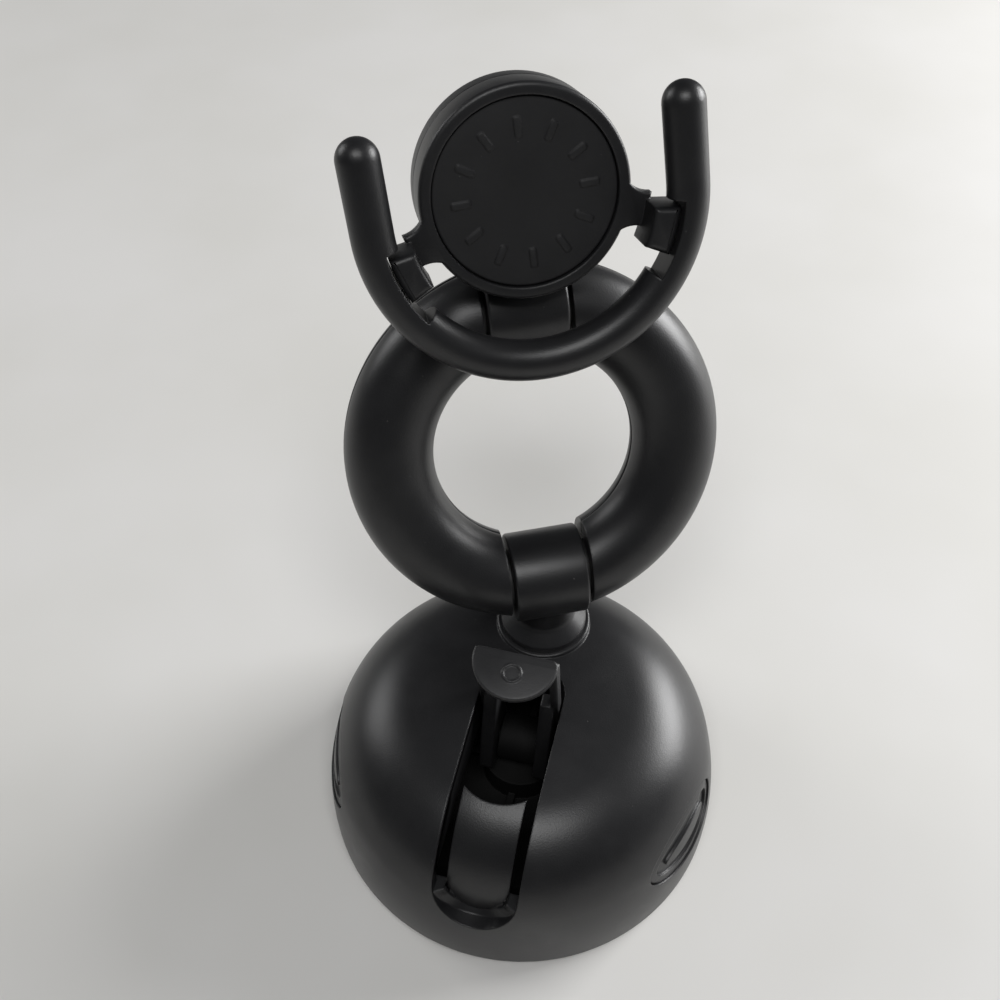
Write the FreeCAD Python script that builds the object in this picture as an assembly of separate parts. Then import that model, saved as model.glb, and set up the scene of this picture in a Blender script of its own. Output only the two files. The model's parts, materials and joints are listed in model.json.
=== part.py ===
# Suction holder for a collapsible phone grip: domed base with a flip lever,
# swivelling neck, tilting ring arm and tilting head with a U-shaped cradle.
# Millimetres, Z up, origin in the middle of the base, lever slot facing -Y.
import FreeCAD
import Part
import math
import os

V = FreeCAD.Vector

# Dome outline: three arcs that meet without a corner.
DOME_R = 37.4
DOME_WIDE_Z = 4.2
DOME_H = 33.2
CROWN_ARC = 143.0
SHOULDER_ARC = 19.0
SIDE_ARC = 55.1
DOME_WALL = 2.4
DOME_Z0 = 2.4
DOME_SEAM = 110.0
# Slot in the dome for the lever.
SLOT_W = 15.3
SLOT_BACK_Y = 6.7
SLOT_BACK_ROUND = 5.5
SLOT_LOW_Z = 14.1
WELL_WALL = 1.3
WELL_WALL_Z = 22.0
# Recess under the closed cap and the tongue above it.
RECESS_Y = -33.0
RECESS_FLOOR = 2.2
RECESS_RIM = 1.8
RECESS_TOP_Z = 25.0
TONGUE_W = 11.2
TONGUE_LOW_Z = 20.5
TONGUE_EDGE_Y = -20.5
TONGUE_EDGE_R = 9.5
TONGUE_FLAT_Y = -34.0
TONGUE_FLAT_Z = 23.0
CHANNEL_LOW_Z = 19.6
# Oval pads on the two sides of the dome.
PAD_ANGLE = 72.0
PAD_Z = 16.0
PAD_LONG = 23.0
PAD_TALL = 12.0
PAD_GAP = 0.3
PAD_SINK = 0.35
PAD_RELIEF = 0.5
PAD_SHELF = 1.6
# Base frame, base ring and suction cup.
FRAME_GAP = 0.3
FRAME_PLATE = 2.2
FRAME_HAT_R = 25.0
FRAME_HAT_Z = 4.2
FRAME_HAT_PLATE = 2.0
FRAME_TUBE_R = 7.4
FRAME_TUBE_BORE = 5.6
FRAME_TUBE_ROOF_Z = 10.0
SEAT_Z = 12.0
RIB_T = 1.4
RIB_TOP_Z = 8.0
BASE_RING_R = 36.9
BASE_RING_BORE = 33.0
LIP_R = 36.4
LIP_BORE = 30.0
LIP_H = 1.2
BELL_SKIN = 1.8
BELL_HUB_Z = 3.4
BELL_HUB_R = 5.0
# Screws under the base.
BASE_SCREW_N = 4
BASE_SCREW_R = 28.0
SCREW_R = 1.0
SCREW_HEAD_R = 2.0
SCREW_HEAD_H = 1.2
SCREW_GAP = 0.2
BASE_SCREW_LEN = 6.0
BOSS_R = 2.8
# Plunger, its pin and spring.
PIVOT_Z = 17.0
STEM_R = 2.6
RUN_GAP = 0.06
STEM_FLANGE_R = 5.0
STEM_FLANGE_H = 1.6
EYE_R = 4.5
EYE_W = 7.2
STEM_PIN_R = 1.5
SPRING_WIRE = 0.35
SPRING_R = 4.3
SPRING_TURNS = 2.5
# Lever.
LEVER_LEAN = 11.3
LEVER_SWING = 79.5
LEVER_LEN = 35.9
STEM_LIFT = 2.5
CAM_GAP = 0.2
ROOT_X0 = 3.9
ROOT_X1 = 6.4
ROOT_TOP = 18.0
ARM_X0 = 5.85
ARM_X1 = 7.3
ARM_FRONT = 1.3
ARM_BACK = 3.65
ARM_LOW = 9.0
CAP_T = 1.6
CAP_ROUND_Y = 2.7
CAP_EDGE = 0.35
CAM_STEPS = 8
# Neck with its swivel bearing.
NECK_Y = 17.2
NECK_YAW = 25.94
NECK_R = 5.5
COLLAR_R = 8.0
COLLAR_H = 1.4
SWIVEL_SEAT_Z = 33.4
SWIVEL_BOSS_R = 8.8
SWIVEL_BOSS_T = 6.0
SPINDLE_R = 4.0
BUSH_T = 1.3
WASHER_T = 0.8
RETAINER_R = 6.0
RETAINER_H = 1.6
RETAINER_SHANK = 1.25
RETAINER_LEN = 6.0
LOW_HINGE_Z = 48.1
# Hinge barrels and pins, alike at both ends of the ring.
BARREL_R = 8.0
BARREL_W = 13.0
BARREL_EDGE = 0.5
HINGE_GAP = 0.8
PIN_R = 2.0
PIN_LEN = 24.6
HINGE_BUSH_R = 3.2
WASHER_R = 5.0
# Ring arm.
RING_LEAN = 26.33
RING_R = 24.8
TUBE_R = 7.5
TUBE_WALL = 2.2
BULKHEAD_X = 12.8
SEAM_DEEP = 0.3
SEAM_WIDE = 0.35
RING_SCREW_ANGLE = 38.0
RING_SCREW_R = 0.9
RING_SCREW_HEAD_Y = 6.2
RING_SCREW_TIP_Y = -3.5
RING_BOSS_R = 2.4
# Round head, drawn upright at its hinge.
HEAD_LEAN = 21.4
HEAD_TURN = 3.0
DISC_UP = 20.85
DISC_FORWARD = 11.5
DISC_R = 13.86
DISC_T = 2.2
DISC_GAP = 0.1
DISC_DISH = 0.3
DISC_DISH_R = 5.6
HOUSING_R = 15.8
HOUSING_WALL = 1.7
RIM_PROUD = 0.6
RIM_EDGE = 0.7
SHELF_BORE = 12.4
HEAD_SPLIT_Y = -5.8
HEAD_BACK_Y = -0.5
HEAD_BACK_WALL = 2.0
HEAD_BACK_ROUND = 2.2
HEAD_CLEAR_R = 8.3
HEAD_SKIN = 1.6
WEB_FRONT_Y = -5.4
WEB_BACK_Y = 4.6
WEB_TOP_Z = 17.0
HEAD_SCREW_N = 3
HEAD_SCREW_AT = 11.6
HEAD_BOSS_R = 2.6
HEAD_SCREW_TIP_Y = -8.6
# Cradle and the two ears that carry it.
U_R = 23.18
U_TUBE_R = 3.18
U_DROP = 1.0
U_TOP = 9.9
U_FORWARD = 4.1
POCKET_FROM = 6.0
POCKET_TO = 37.0
POCKET_DEEP = 1.98
EAR_FROM = 9.0
EAR_TO = 28.0
EAR_T = 2.2
EAR_LEG_R0 = 17.9
EAR_LEG_Y = 1.8
EAR_GAP = 0.15
EAR_ROOT_R = 15.0
EAR_NECK_R = 16.6
EAR_END_R = 19.0
EAR_ROOT_FROM = 2.0
EAR_ROOT_TO = -36.0
EAR_NECK_FROM = -7.0
EAR_NECK_TO = -27.0
EAR_END_FROM = -9.0
EAR_END_TO = -25.0
FAR = 90.0

X = V(1, 0, 0)
Y = V(0, 1, 0)
Z = V(0, 0, 1)
ORIGIN = V(0, 0, 0)


def box(x0, x1, y0, y1, z0, z1):
    return Part.makeBox(x1 - x0, y1 - y0, z1 - z0, V(x0, y0, z0))


def rod(radius, start, end):
    return Part.makeCylinder(radius, (end - start).Length, start, end - start)


def tube(outer, inner, start, end):
    return rod(outer, start, end).cut(rod(inner, start, end))


def turned(points, centre=ORIGIN):
    # Solid of revolution about the vertical line through the centre.
    wire = Part.makePolygon([V(r, 0, z) for r, z in points + points[:1]])
    solid = Part.Face(wire).revolve(ORIGIN, Z, 360)
    solid.translate(centre)
    return solid


def prism(wire, along):
    return Part.Face(wire).extrude(along)


def polygon(points):
    return Part.makePolygon(points + points[:1])


def join(first, *others):
    return first.fuse(list(others)).removeSplitter()


def polar(radius, angle):
    return radius * math.cos(math.radians(angle)), radius * math.sin(math.radians(angle))


def mirrored(shape):
    return shape.mirror(ORIGIN, X)


def soften(shape, radius, choose):
    edges = [edge for edge in shape.Edges if choose(edge)]
    return shape.makeFillet(radius, edges)


def swung(shape, lean, yaw, origin):
    # Lean back about X, then turn about Z, then carry to the hinge.
    moved = shape.copy()
    moved.rotate(ORIGIN, X, -lean)
    moved.rotate(ORIGIN, Z, yaw)
    moved.translate(origin)
    return moved


def save(name, shape):
    shape.exportStep("parts/" + name + ".step")


# Dome outline, as arcs that meet smoothly.
def shoulder_centre():
    # Crossing of the two circles on which the shoulder arc's centre must lie.
    first = (0.0, DOME_H - CROWN_ARC)
    second = (DOME_R - SIDE_ARC, DOME_WIDE_Z)
    reach_1 = CROWN_ARC - SHOULDER_ARC
    reach_2 = SIDE_ARC - SHOULDER_ARC
    dx = second[0] - first[0]
    dz = second[1] - first[1]
    apart = math.hypot(dx, dz)
    along = (reach_1 ** 2 - reach_2 ** 2 + apart ** 2) / (2 * apart)
    across = math.sqrt(reach_1 ** 2 - along ** 2)
    return (first[0] + (along * dx + across * dz) / apart,
            first[1] + (along * dz - across * dx) / apart)


def dome(inset, z0):
    # Solid dome with every arc moved inwards by the inset.
    cx, cz = shoulder_centre()
    crown = CROWN_ARC - inset
    shoulder = SHOULDER_ARC - inset
    side = SIDE_ARC - inset
    crown_z = DOME_H - CROWN_ARC
    side_x = DOME_R - SIDE_ARC
    lean_1 = math.atan2(cx, cz - crown_z)
    lean_2 = math.atan2(cz - DOME_WIDE_Z, cx - side_x)
    top = V(0, 0, crown_z + crown)
    join_1 = V(crown * math.sin(lean_1), 0, crown_z + crown * math.cos(lean_1))
    join_2 = V(side_x + side * math.cos(lean_2), 0, DOME_WIDE_Z + side * math.sin(lean_2))
    mid_1 = V(crown * math.sin(lean_1 / 2), 0, crown_z + crown * math.cos(lean_1 / 2))
    half = (math.pi / 2 - lean_1 + lean_2) / 2
    mid_2 = V(cx + shoulder * math.cos(half), 0, cz + shoulder * math.sin(half))
    drop = math.asin((z0 - DOME_WIDE_Z) / side)
    mid = (lean_2 + drop) / 2
    mid_3 = V(side_x + side * math.cos(mid), 0, DOME_WIDE_Z + side * math.sin(mid))
    foot = V(side_x + side * math.cos(drop), 0, z0)
    edges = [Part.Arc(top, mid_1, join_1).toShape(),
             Part.Arc(join_1, mid_2, join_2).toShape(),
             Part.Arc(join_2, mid_3, foot).toShape(),
             Part.makeLine(foot, V(0, 0, z0)),
             Part.makeLine(V(0, 0, z0), top)]
    solid = Part.Face(Part.Wire(edges)).revolve(ORIGIN, Z, 360)
    solid.rotate(ORIGIN, Z, DOME_SEAM)
    return solid


def slot(grow):
    # Slot outline seen from the front, cut to its outline seen from above.
    half = SLOT_W / 2 + grow
    centre_z = SLOT_LOW_Z + SLOT_W / 2
    front = box(-half, half, -FAR, FAR, centre_z, FAR)
    front = front.fuse(rod(half, V(0, -FAR, centre_z), V(0, FAR, centre_z)))
    back = SLOT_BACK_Y + grow
    round_r = SLOT_BACK_ROUND + grow
    above = box(-half, half, -FAR, back, 0, FAR)
    corner = box(-half, half, back - round_r, back, 0, FAR)
    corner = corner.cut(box(round_r - half, half - round_r, back - round_r, back, 0, FAR))
    for side in (-1, 1):
        at = V(side * (half - round_r), back - round_r, 0)
        corner = corner.cut(rod(round_r, at, at + Z * FAR))
    return front.common(above.cut(corner))


def oval(side, grow, depth_from):
    # Oval bar pointing outwards from the axis, starting at the given radius.
    ring = Part.Ellipse(ORIGIN, PAD_LONG / 2 + grow, PAD_TALL / 2 + grow)
    bar = prism(Part.Wire(ring.toShape()), Z * FAR)
    bar.rotate(ORIGIN, X, 90)
    bar.translate(V(0, -depth_from, PAD_Z))
    bar.rotate(ORIGIN, Z, side * PAD_ANGLE)
    return bar


def base_angles():
    return [360.0 / BASE_SCREW_N * (i + 0.5) for i in range(BASE_SCREW_N)]


def dome_shell():
    outside = dome(0, DOME_Z0)
    wall = outside.cut(dome(DOME_WALL, DOME_Z0))
    opening = slot(0)
    # Tongue between the two arm channels.
    half = TONGUE_W / 2
    low_z = TONGUE_LOW_Z + half
    shape = box(-half, half, -FAR, TONGUE_EDGE_Y + TONGUE_EDGE_R, low_z, FAR)
    shape = shape.fuse(rod(half, V(0, -FAR, low_z), V(0, TONGUE_EDGE_Y, low_z)))
    edge = V(0, TONGUE_EDGE_Y + TONGUE_EDGE_R, 0)
    shape = shape.cut(rod(TONGUE_EDGE_R, edge, edge + Z * FAR))
    tongue = wall.common(shape)
    tongue = tongue.cut(box(-half, half, -FAR, TONGUE_FLAT_Y, 0, TONGUE_FLAT_Z))
    # Tray behind the lower end of the slot.
    tray = slot(RECESS_RIM).common(box(-FAR, FAR, -FAR, RECESS_Y + RECESS_FLOOR, 0, RECESS_TOP_Z))
    tray = tray.common(outside)
    tray = tray.cut(opening.common(box(-FAR, FAR, -FAR, RECESS_Y, 0, FAR)))
    for side in (-1, 1):
        x0, x1 = sorted((side * half, side * SLOT_W / 2))
        tray = tray.cut(box(x0, x1, -FAR, 0, CHANNEL_LOW_Z, FAR))
    # Walls hanging from the rim of the well.
    hanging = slot(WELL_WALL).cut(opening).common(dome(DOME_WALL / 2, DOME_Z0))
    hanging = hanging.common(box(-FAR, FAR, RECESS_Y + RECESS_FLOOR / 2, FAR, WELL_WALL_Z, FAR))
    shell = wall.cut(opening)
    shell = join(shell, tray, hanging)
    shell = join(shell, tongue)
    # Shelves and windows for the side pads.
    for side in (-1, 1):
        shelf = dome(DOME_WALL - PAD_GAP, DOME_Z0).cut(dome(DOME_WALL + PAD_SHELF, DOME_Z0))
        shell = shell.fuse(shelf.common(oval(side, PAD_SHELF, DOME_R / 2)))
        window = oval(side, 0, DOME_R / 2).cut(dome(DOME_WALL, DOME_Z0))
        shell = shell.cut(window)
    # Screw bosses, and the boss of the swivel bearing.
    plate_z = DOME_Z0 + FRAME_PLATE
    for angle in base_angles():
        x, y = polar(BASE_SCREW_R, angle)
        boss = rod(BOSS_R, V(x, y, plate_z), V(x, y, DOME_H))
        shell = shell.fuse(boss.common(dome(DOME_WALL / 2, DOME_Z0)))
        shell = shell.cut(rod(SCREW_R, V(x, y, 0), V(x, y, plate_z + BASE_SCREW_LEN)))
    low = V(0, NECK_Y, SWIVEL_SEAT_Z - SWIVEL_BOSS_T)
    top = V(0, NECK_Y, SWIVEL_SEAT_Z)
    shell = shell.fuse(rod(SWIVEL_BOSS_R, low, top))
    shell = shell.cut(rod(SPINDLE_R + RUN_GAP + BUSH_T, low, top))
    return shell.removeSplitter()


def side_pad(side):
    layer = dome(PAD_SINK, DOME_Z0).cut(dome(DOME_WALL, DOME_Z0))
    pad = layer.common(oval(side, -PAD_GAP, DOME_R / 2))
    # Raised oval border: the middle lies a little deeper.
    middle = dome(0, DOME_Z0).cut(dome(PAD_SINK + PAD_RELIEF, DOME_Z0))
    return pad.cut(middle.common(oval(side, -PAD_GAP - PAD_SHELF, DOME_R / 2)))


def base_frame():
    inner = DOME_R - DOME_WALL - FRAME_GAP
    plate_z = DOME_Z0 + FRAME_PLATE
    hat_z = FRAME_HAT_Z + FRAME_HAT_PLATE
    bore = STEM_R + RUN_GAP
    frame = turned([(inner, DOME_Z0), (inner, plate_z), (FRAME_HAT_R + FRAME_PLATE, plate_z),
                    (FRAME_HAT_R, hat_z), (FRAME_TUBE_R, hat_z), (FRAME_TUBE_R, SEAT_Z),
                    (bore, SEAT_Z), (bore, FRAME_TUBE_ROOF_Z), (FRAME_TUBE_BORE, FRAME_TUBE_ROOF_Z),
                    (FRAME_TUBE_BORE, FRAME_HAT_Z), (FRAME_HAT_R - RIB_T, FRAME_HAT_Z),
                    (FRAME_HAT_R, DOME_Z0)])
    reach = inner - FRAME_GAP
    room = turned([(FRAME_TUBE_R - RIB_T, DOME_Z0), (FRAME_TUBE_R - RIB_T, RIB_TOP_Z),
                   (reach, RIB_TOP_Z), (reach, DOME_Z0)])
    ribs = box(-reach, reach, -RIB_T / 2, RIB_T / 2, plate_z - RIB_T / 2, RIB_TOP_Z)
    ribs = ribs.fuse(box(-RIB_T / 2, RIB_T / 2, -reach, reach, plate_z - RIB_T / 2, RIB_TOP_Z))
    hollow = turned([(0, 0), (FRAME_HAT_R - RIB_T, 0), (FRAME_HAT_R - RIB_T, FRAME_HAT_Z),
                     (0, FRAME_HAT_Z)])
    frame = join(frame, ribs.common(room).cut(hollow))
    for angle in base_angles():
        x, y = polar(BASE_SCREW_R, angle)
        frame = frame.cut(rod(SCREW_R + SCREW_GAP, V(x, y, 0), V(x, y, DOME_H)))
        frame = frame.cut(rod(SCREW_HEAD_R + SCREW_GAP, V(x, y, 0), V(x, y, DOME_Z0 + SCREW_HEAD_H)))
        # Room for the dome's screw boss where it passes the frame's raised middle.
        frame = frame.cut(rod(BOSS_R + SCREW_GAP, V(x, y, plate_z), V(x, y, DOME_H)))
    return frame


def base_screws():
    screws = []
    for angle in base_angles():
        x, y = polar(BASE_SCREW_R, angle)
        head_top = V(x, y, DOME_Z0 + SCREW_HEAD_H)
        head = rod(SCREW_HEAD_R, V(x, y, DOME_Z0), head_top)
        shank = rod(SCREW_R, head_top, V(x, y, DOME_Z0 + FRAME_PLATE + BASE_SCREW_LEN))
        screws.append(join(head, shank))
    return Part.makeCompound(screws)


def base_ring():
    return turned([(BASE_RING_BORE, LIP_H), (BASE_RING_R, LIP_H), (BASE_RING_R, DOME_Z0),
                   (BASE_RING_BORE, DOME_Z0)])


def cup_lip():
    return turned([(LIP_BORE, 0), (LIP_R, 0), (LIP_R, LIP_H), (LIP_BORE, LIP_H)])


def cup_bell():
    foot = BELL_HUB_R + LIP_H
    return turned([(0, 0), (LIP_BORE, 0), (LIP_BORE, LIP_H), (foot, BELL_SKIN),
                   (BELL_HUB_R, BELL_HUB_Z), (0, BELL_HUB_Z)])


# Plunger and flip lever.
def cup_stem():
    flange_top = BELL_HUB_Z + STEM_FLANGE_H
    pivot = V(0, 0, PIVOT_Z)
    stem = rod(STEM_FLANGE_R, V(0, 0, BELL_HUB_Z), V(0, 0, flange_top))
    stem = stem.fuse(rod(STEM_R, V(0, 0, flange_top), pivot))
    eye = rod(EYE_R, pivot - X * EYE_W / 2, pivot + X * EYE_W / 2)
    bore = rod(STEM_PIN_R + RUN_GAP, pivot - X * EYE_W, pivot + X * EYE_W)
    return join(stem, eye).cut(bore)


def stem_pin():
    pivot = V(0, 0, PIVOT_Z)
    return rod(STEM_PIN_R, pivot - X * ROOT_X1, pivot + X * ROOT_X1)


def return_spring():
    low = BELL_HUB_Z + STEM_FLANGE_H + SPRING_WIRE
    high = FRAME_TUBE_ROOF_Z - SPRING_WIRE
    path = Part.makeHelix((high - low) / SPRING_TURNS, high - low, SPRING_R)
    section = Part.Wire(Part.makeCircle(SPRING_WIRE, V(SPRING_R, 0, 0), Y))
    coil = Part.Wire(path).makePipeShell([section], True, False)
    coil.translate(V(0, 0, low))
    return coil


def cam_outline():
    # Lobe whose lowest point sinks evenly as the lever swings.
    swing = math.radians(LEVER_SWING)
    lean = math.radians(LEVER_LEAN)
    reach = PIVOT_Z - SEAT_Z - CAM_GAP
    slope = STEM_LIFT / swing
    points = []
    for i in range(CAM_STEPS + 1):
        turn = swing * i / CAM_STEPS
        down = lean + turn
        far = reach + slope * turn
        points.append(V(0, -far * math.sin(down) - slope * math.cos(down),
                        -far * math.cos(down) + slope * math.sin(down)))
    flat = V(0, -reach * math.sin(lean), -reach * math.cos(lean))
    behind = V(0, reach, 0)
    half_way = (math.pi / 2 - lean) / 2
    between = V(0, reach * math.sin(half_way), -reach * math.cos(half_way))
    lobe = Part.BSplineCurve()
    lobe.interpolate(points)
    top_back = V(0, ARM_BACK, ROOT_TOP)
    top_front = V(0, ARM_FRONT, ROOT_TOP)
    return Part.Wire([lobe.toShape(),
                      Part.makeLine(points[-1], top_front),
                      Part.makeLine(top_front, top_back),
                      Part.makeLine(top_back, behind),
                      Part.Arc(behind, between, flat).toShape(),
                      Part.makeLine(flat, points[0])])


def lever():
    outline = cam_outline()
    root = prism(outline, X * (ROOT_X1 - ROOT_X0))
    root.translate(X * ROOT_X0)
    arm = box(ARM_X0, ARM_X1, ARM_FRONT, ARM_BACK, ARM_LOW, LEVER_LEN - CAP_T / 2)
    side = root.fuse(arm)
    cap = rod(ARM_X1, V(0, CAP_ROUND_Y, LEVER_LEN - CAP_T), V(0, CAP_ROUND_Y, LEVER_LEN))
    cap = cap.cut(box(-FAR, FAR, ARM_BACK, FAR, 0, FAR))
    cap = soften(cap, CAP_EDGE, lambda edge: edge.BoundBox.ZMin > LEVER_LEN - CAP_EDGE)
    body = join(cap, side, mirrored(side))
    body = body.cut(rod(STEM_PIN_R, X * -ROOT_X1, X * ROOT_X1))
    body.rotate(ORIGIN, X, LEVER_LEAN)
    body.translate(V(0, 0, PIVOT_Z))
    return body


# Swivelling neck with the lower hinge barrel.
LOW_HINGE = V(0, NECK_Y, LOW_HINGE_Z)


def barrel():
    shape = rod(BARREL_R, X * -BARREL_W / 2, X * BARREL_W / 2)
    return shape.makeFillet(BARREL_EDGE, shape.Edges)


def barrel_bore():
    return rod(HINGE_BUSH_R, X * -BARREL_W, X * BARREL_W)


def neck():
    seat = SWIVEL_SEAT_Z - LOW_HINGE_Z
    spindle_end = seat - SWIVEL_BOSS_T - WASHER_T
    post = turned([(0, seat), (COLLAR_R, seat), (COLLAR_R, seat + COLLAR_H),
                   (NECK_R, seat + COLLAR_H + COLLAR_R - NECK_R), (NECK_R, 0), (0, 0)])
    spindle = rod(SPINDLE_R, Z * spindle_end, Z * seat)
    body = join(barrel(), post, spindle)
    body = body.cut(barrel_bore())
    body = body.cut(rod(RETAINER_SHANK, Z * spindle_end, Z * (spindle_end + RETAINER_LEN)))
    return swung(body, 0, NECK_YAW, LOW_HINGE)


def at_neck(z):
    return V(0, NECK_Y, SWIVEL_SEAT_Z + z)


def swivel_bush():
    inner = SPINDLE_R + RUN_GAP
    return tube(inner + BUSH_T, inner, at_neck(-SWIVEL_BOSS_T), at_neck(0))


def swivel_washer():
    return tube(COLLAR_R, SPINDLE_R, at_neck(-SWIVEL_BOSS_T - WASHER_T), at_neck(-SWIVEL_BOSS_T))


def swivel_retainer():
    top = -SWIVEL_BOSS_T - WASHER_T
    head = rod(RETAINER_R, at_neck(top - RETAINER_H), at_neck(top))
    shank = rod(RETAINER_SHANK, at_neck(top), at_neck(top + RETAINER_LEN))
    return join(head, shank)


# Ring arm, two front and two back half shells.
def ring_half(side, back):
    # Half of the ring between the two hinge gaps, front or back shell.
    centre = V(0, 0, RING_R)
    end_x = BARREL_W / 2 + HINGE_GAP
    keep = box(end_x, FAR, -FAR, FAR, -FAR, FAR)
    skin = Part.makeTorus(RING_R, TUBE_R, centre, Y)
    core = Part.makeTorus(RING_R, TUBE_R - TUBE_WALL, centre, Y)
    core = core.common(box(BULKHEAD_X, FAR, -FAR, FAR, -FAR, FAR))
    shape = skin.common(keep).cut(core)
    y0, y1 = (0, FAR) if back else (-FAR, 0)
    shape = shape.common(box(-FAR, FAR, y0, y1, -FAR, FAR))
    for angle in (-RING_SCREW_ANGLE, RING_SCREW_ANGLE):
        x, z = polar(RING_R, angle)
        near = V(x, 0, RING_R + z)
        if back:
            boss = rod(RING_BOSS_R + RING_SCREW_R, near, near + Y * TUBE_R)
            boss = boss.common(skin)
            shape = shape.fuse(boss)
            shape = shape.cut(rod(RING_SCREW_R + RUN_GAP, near, near + Y * TUBE_R))
            sunk = near + Y * (RING_SCREW_HEAD_Y - SCREW_HEAD_H)
            shape = shape.cut(rod(SCREW_HEAD_R + SCREW_GAP, sunk, near + Y * FAR))
        else:
            boss = rod(RING_BOSS_R, near - Y * TUBE_R, near)
            shape = shape.fuse(boss.common(skin))
            shape = shape.cut(rod(RING_SCREW_R, near + Y * RING_SCREW_TIP_Y, near))
    # Shadow line along the parting plane.
    groove = SEAM_WIDE / 2
    outer = tube(RING_R + TUBE_R + SEAM_DEEP, RING_R + TUBE_R - SEAM_DEEP,
                 centre - Y * groove, centre + Y * groove)
    inner = tube(RING_R - TUBE_R + SEAM_DEEP, RING_R - TUBE_R - SEAM_DEEP,
                 centre - Y * groove, centre + Y * groove)
    shape = shape.cut(outer).cut(inner)
    for z in (0, 2 * RING_R):
        axis = V(0, 0, z)
        shape = shape.cut(rod(PIN_R, axis - X * PIN_LEN / 2, axis + X * PIN_LEN / 2))
    shape = shape.removeSplitter()
    return shape if side > 0 else mirrored(shape)


def on_ring(shape):
    return swung(shape, RING_LEAN, NECK_YAW, LOW_HINGE)


def ring_screws():
    screws = []
    for side in (-1, 1):
        for angle in (-RING_SCREW_ANGLE, RING_SCREW_ANGLE):
            x, z = polar(RING_R, angle)
            near = V(side * x, 0, RING_R + z)
            neck_y = RING_SCREW_HEAD_Y - SCREW_HEAD_H
            head = rod(SCREW_HEAD_R, near + Y * neck_y, near + Y * RING_SCREW_HEAD_Y)
            shank = rod(RING_SCREW_R, near + Y * RING_SCREW_TIP_Y, near + Y * neck_y)
            screws.append(join(head, shank))
    return Part.makeCompound(screws)


def hinge_pin():
    return rod(PIN_R, X * -PIN_LEN / 2, X * PIN_LEN / 2)


def hinge_bush():
    return tube(HINGE_BUSH_R, PIN_R + RUN_GAP, X * -BARREL_W / 2, X * BARREL_W / 2)


def hinge_washers():
    inner = BARREL_W / 2 + RUN_GAP
    ring = tube(WASHER_R, PIN_R, X * inner, X * (BARREL_W / 2 + HINGE_GAP))
    return Part.makeCompound([ring, mirrored(ring)])


# Round head, drawn upright at its hinge.
DISC = V(0, -DISC_FORWARD, DISC_UP)


def from_disc(forward):
    # Point on the head's axis, measured forwards from the disc's face.
    return V(0, -DISC_FORWARD - forward, DISC_UP)


def on_axis(y):
    return V(0, y, DISC_UP)


def turn_head(shape):
    shape.rotate(DISC, Y, -HEAD_TURN)
    return shape


def head_screw_points(y):
    points = []
    for i in range(HEAD_SCREW_N):
        x, z = polar(HEAD_SCREW_AT, 90.0 + 360.0 / HEAD_SCREW_N * i)
        points.append(V(x, y, DISC_UP + z))
    return points


def clear_of_ring(skin):
    return rod(HEAD_CLEAR_R + skin, X * -FAR, X * FAR)


def ear_plate():
    def at(radius, angle):
        x, z = polar(radius, angle)
        return V(x, -DISC_FORWARD - RIM_PROUD, DISC_UP + z)
    low = [at(EAR_ROOT_R, EAR_ROOT_TO), at(EAR_NECK_R, EAR_NECK_TO), at(EAR_END_R, EAR_END_TO)]
    high = [at(EAR_END_R, EAR_END_FROM), at(EAR_NECK_R, EAR_NECK_FROM), at(EAR_ROOT_R, EAR_ROOT_FROM)]
    wire = Part.Wire([Part.Arc(*low).toShape(), Part.makeLine(low[2], high[0]),
                      Part.Arc(*high).toShape(), Part.makeLine(high[2], low[0])])
    return prism(wire, Y * EAR_T)


def sector(inner, outer, start, end, y0, y1):
    # Piece of a tube about the cradle's centre, angles below the horizontal.
    centre_z = DISC_UP - U_DROP
    ring = tube(outer, inner, V(0, y0, centre_z), V(0, y1, centre_z))
    points = [V(0, y0, centre_z)]
    for angle in (start, end):
        x, z = polar(FAR, -angle)
        points.append(V(x, y0, centre_z + z))
    return ring.common(prism(polygon(points), Y * (y1 - y0)))


def cradle_y():
    return -DISC_FORWARD - U_FORWARD


def head_housing():
    front = from_disc(RIM_PROUD)
    split = on_axis(HEAD_SPLIT_Y)
    body = rod(HOUSING_R, front, split)
    body = soften(body, RIM_EDGE, lambda edge: edge.BoundBox.YMax < front.y + RIM_EDGE)
    seat = from_disc(-DISC_T)
    ear = ear_plate()
    rear_y = front.y + EAR_T
    leg = sector(EAR_LEG_R0, U_R - U_TUBE_R + POCKET_DEEP - EAR_GAP, EAR_FROM, EAR_TO,
                 cradle_y() - EAR_LEG_Y, rear_y)
    ear = ear.fuse(leg)
    body = join(body, ear, mirrored(ear))
    body = body.cut(rod(DISC_R + DISC_GAP, front, seat))
    inside = rod(HOUSING_R - HOUSING_WALL, seat - Y * -HOUSING_WALL, split)
    bosses = [rod(HEAD_BOSS_R, p, V(p.x, HEAD_SPLIT_Y, p.z)) for p in head_screw_points(seat.y)]
    inside = inside.cut(bosses[0].fuse(bosses[1:]))
    body = body.cut(inside.cut(clear_of_ring(HEAD_SKIN)))
    body = body.cut(rod(SHELF_BORE, seat, seat + Y * HOUSING_WALL).cut(bosses[0].fuse(bosses[1:])))
    body = body.cut(clear_of_ring(0))
    for p in head_screw_points(HEAD_SCREW_TIP_Y):
        body = body.cut(rod(SCREW_R, p, V(p.x, HEAD_SPLIT_Y, p.z)))
    return turn_head(body.removeSplitter())


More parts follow.
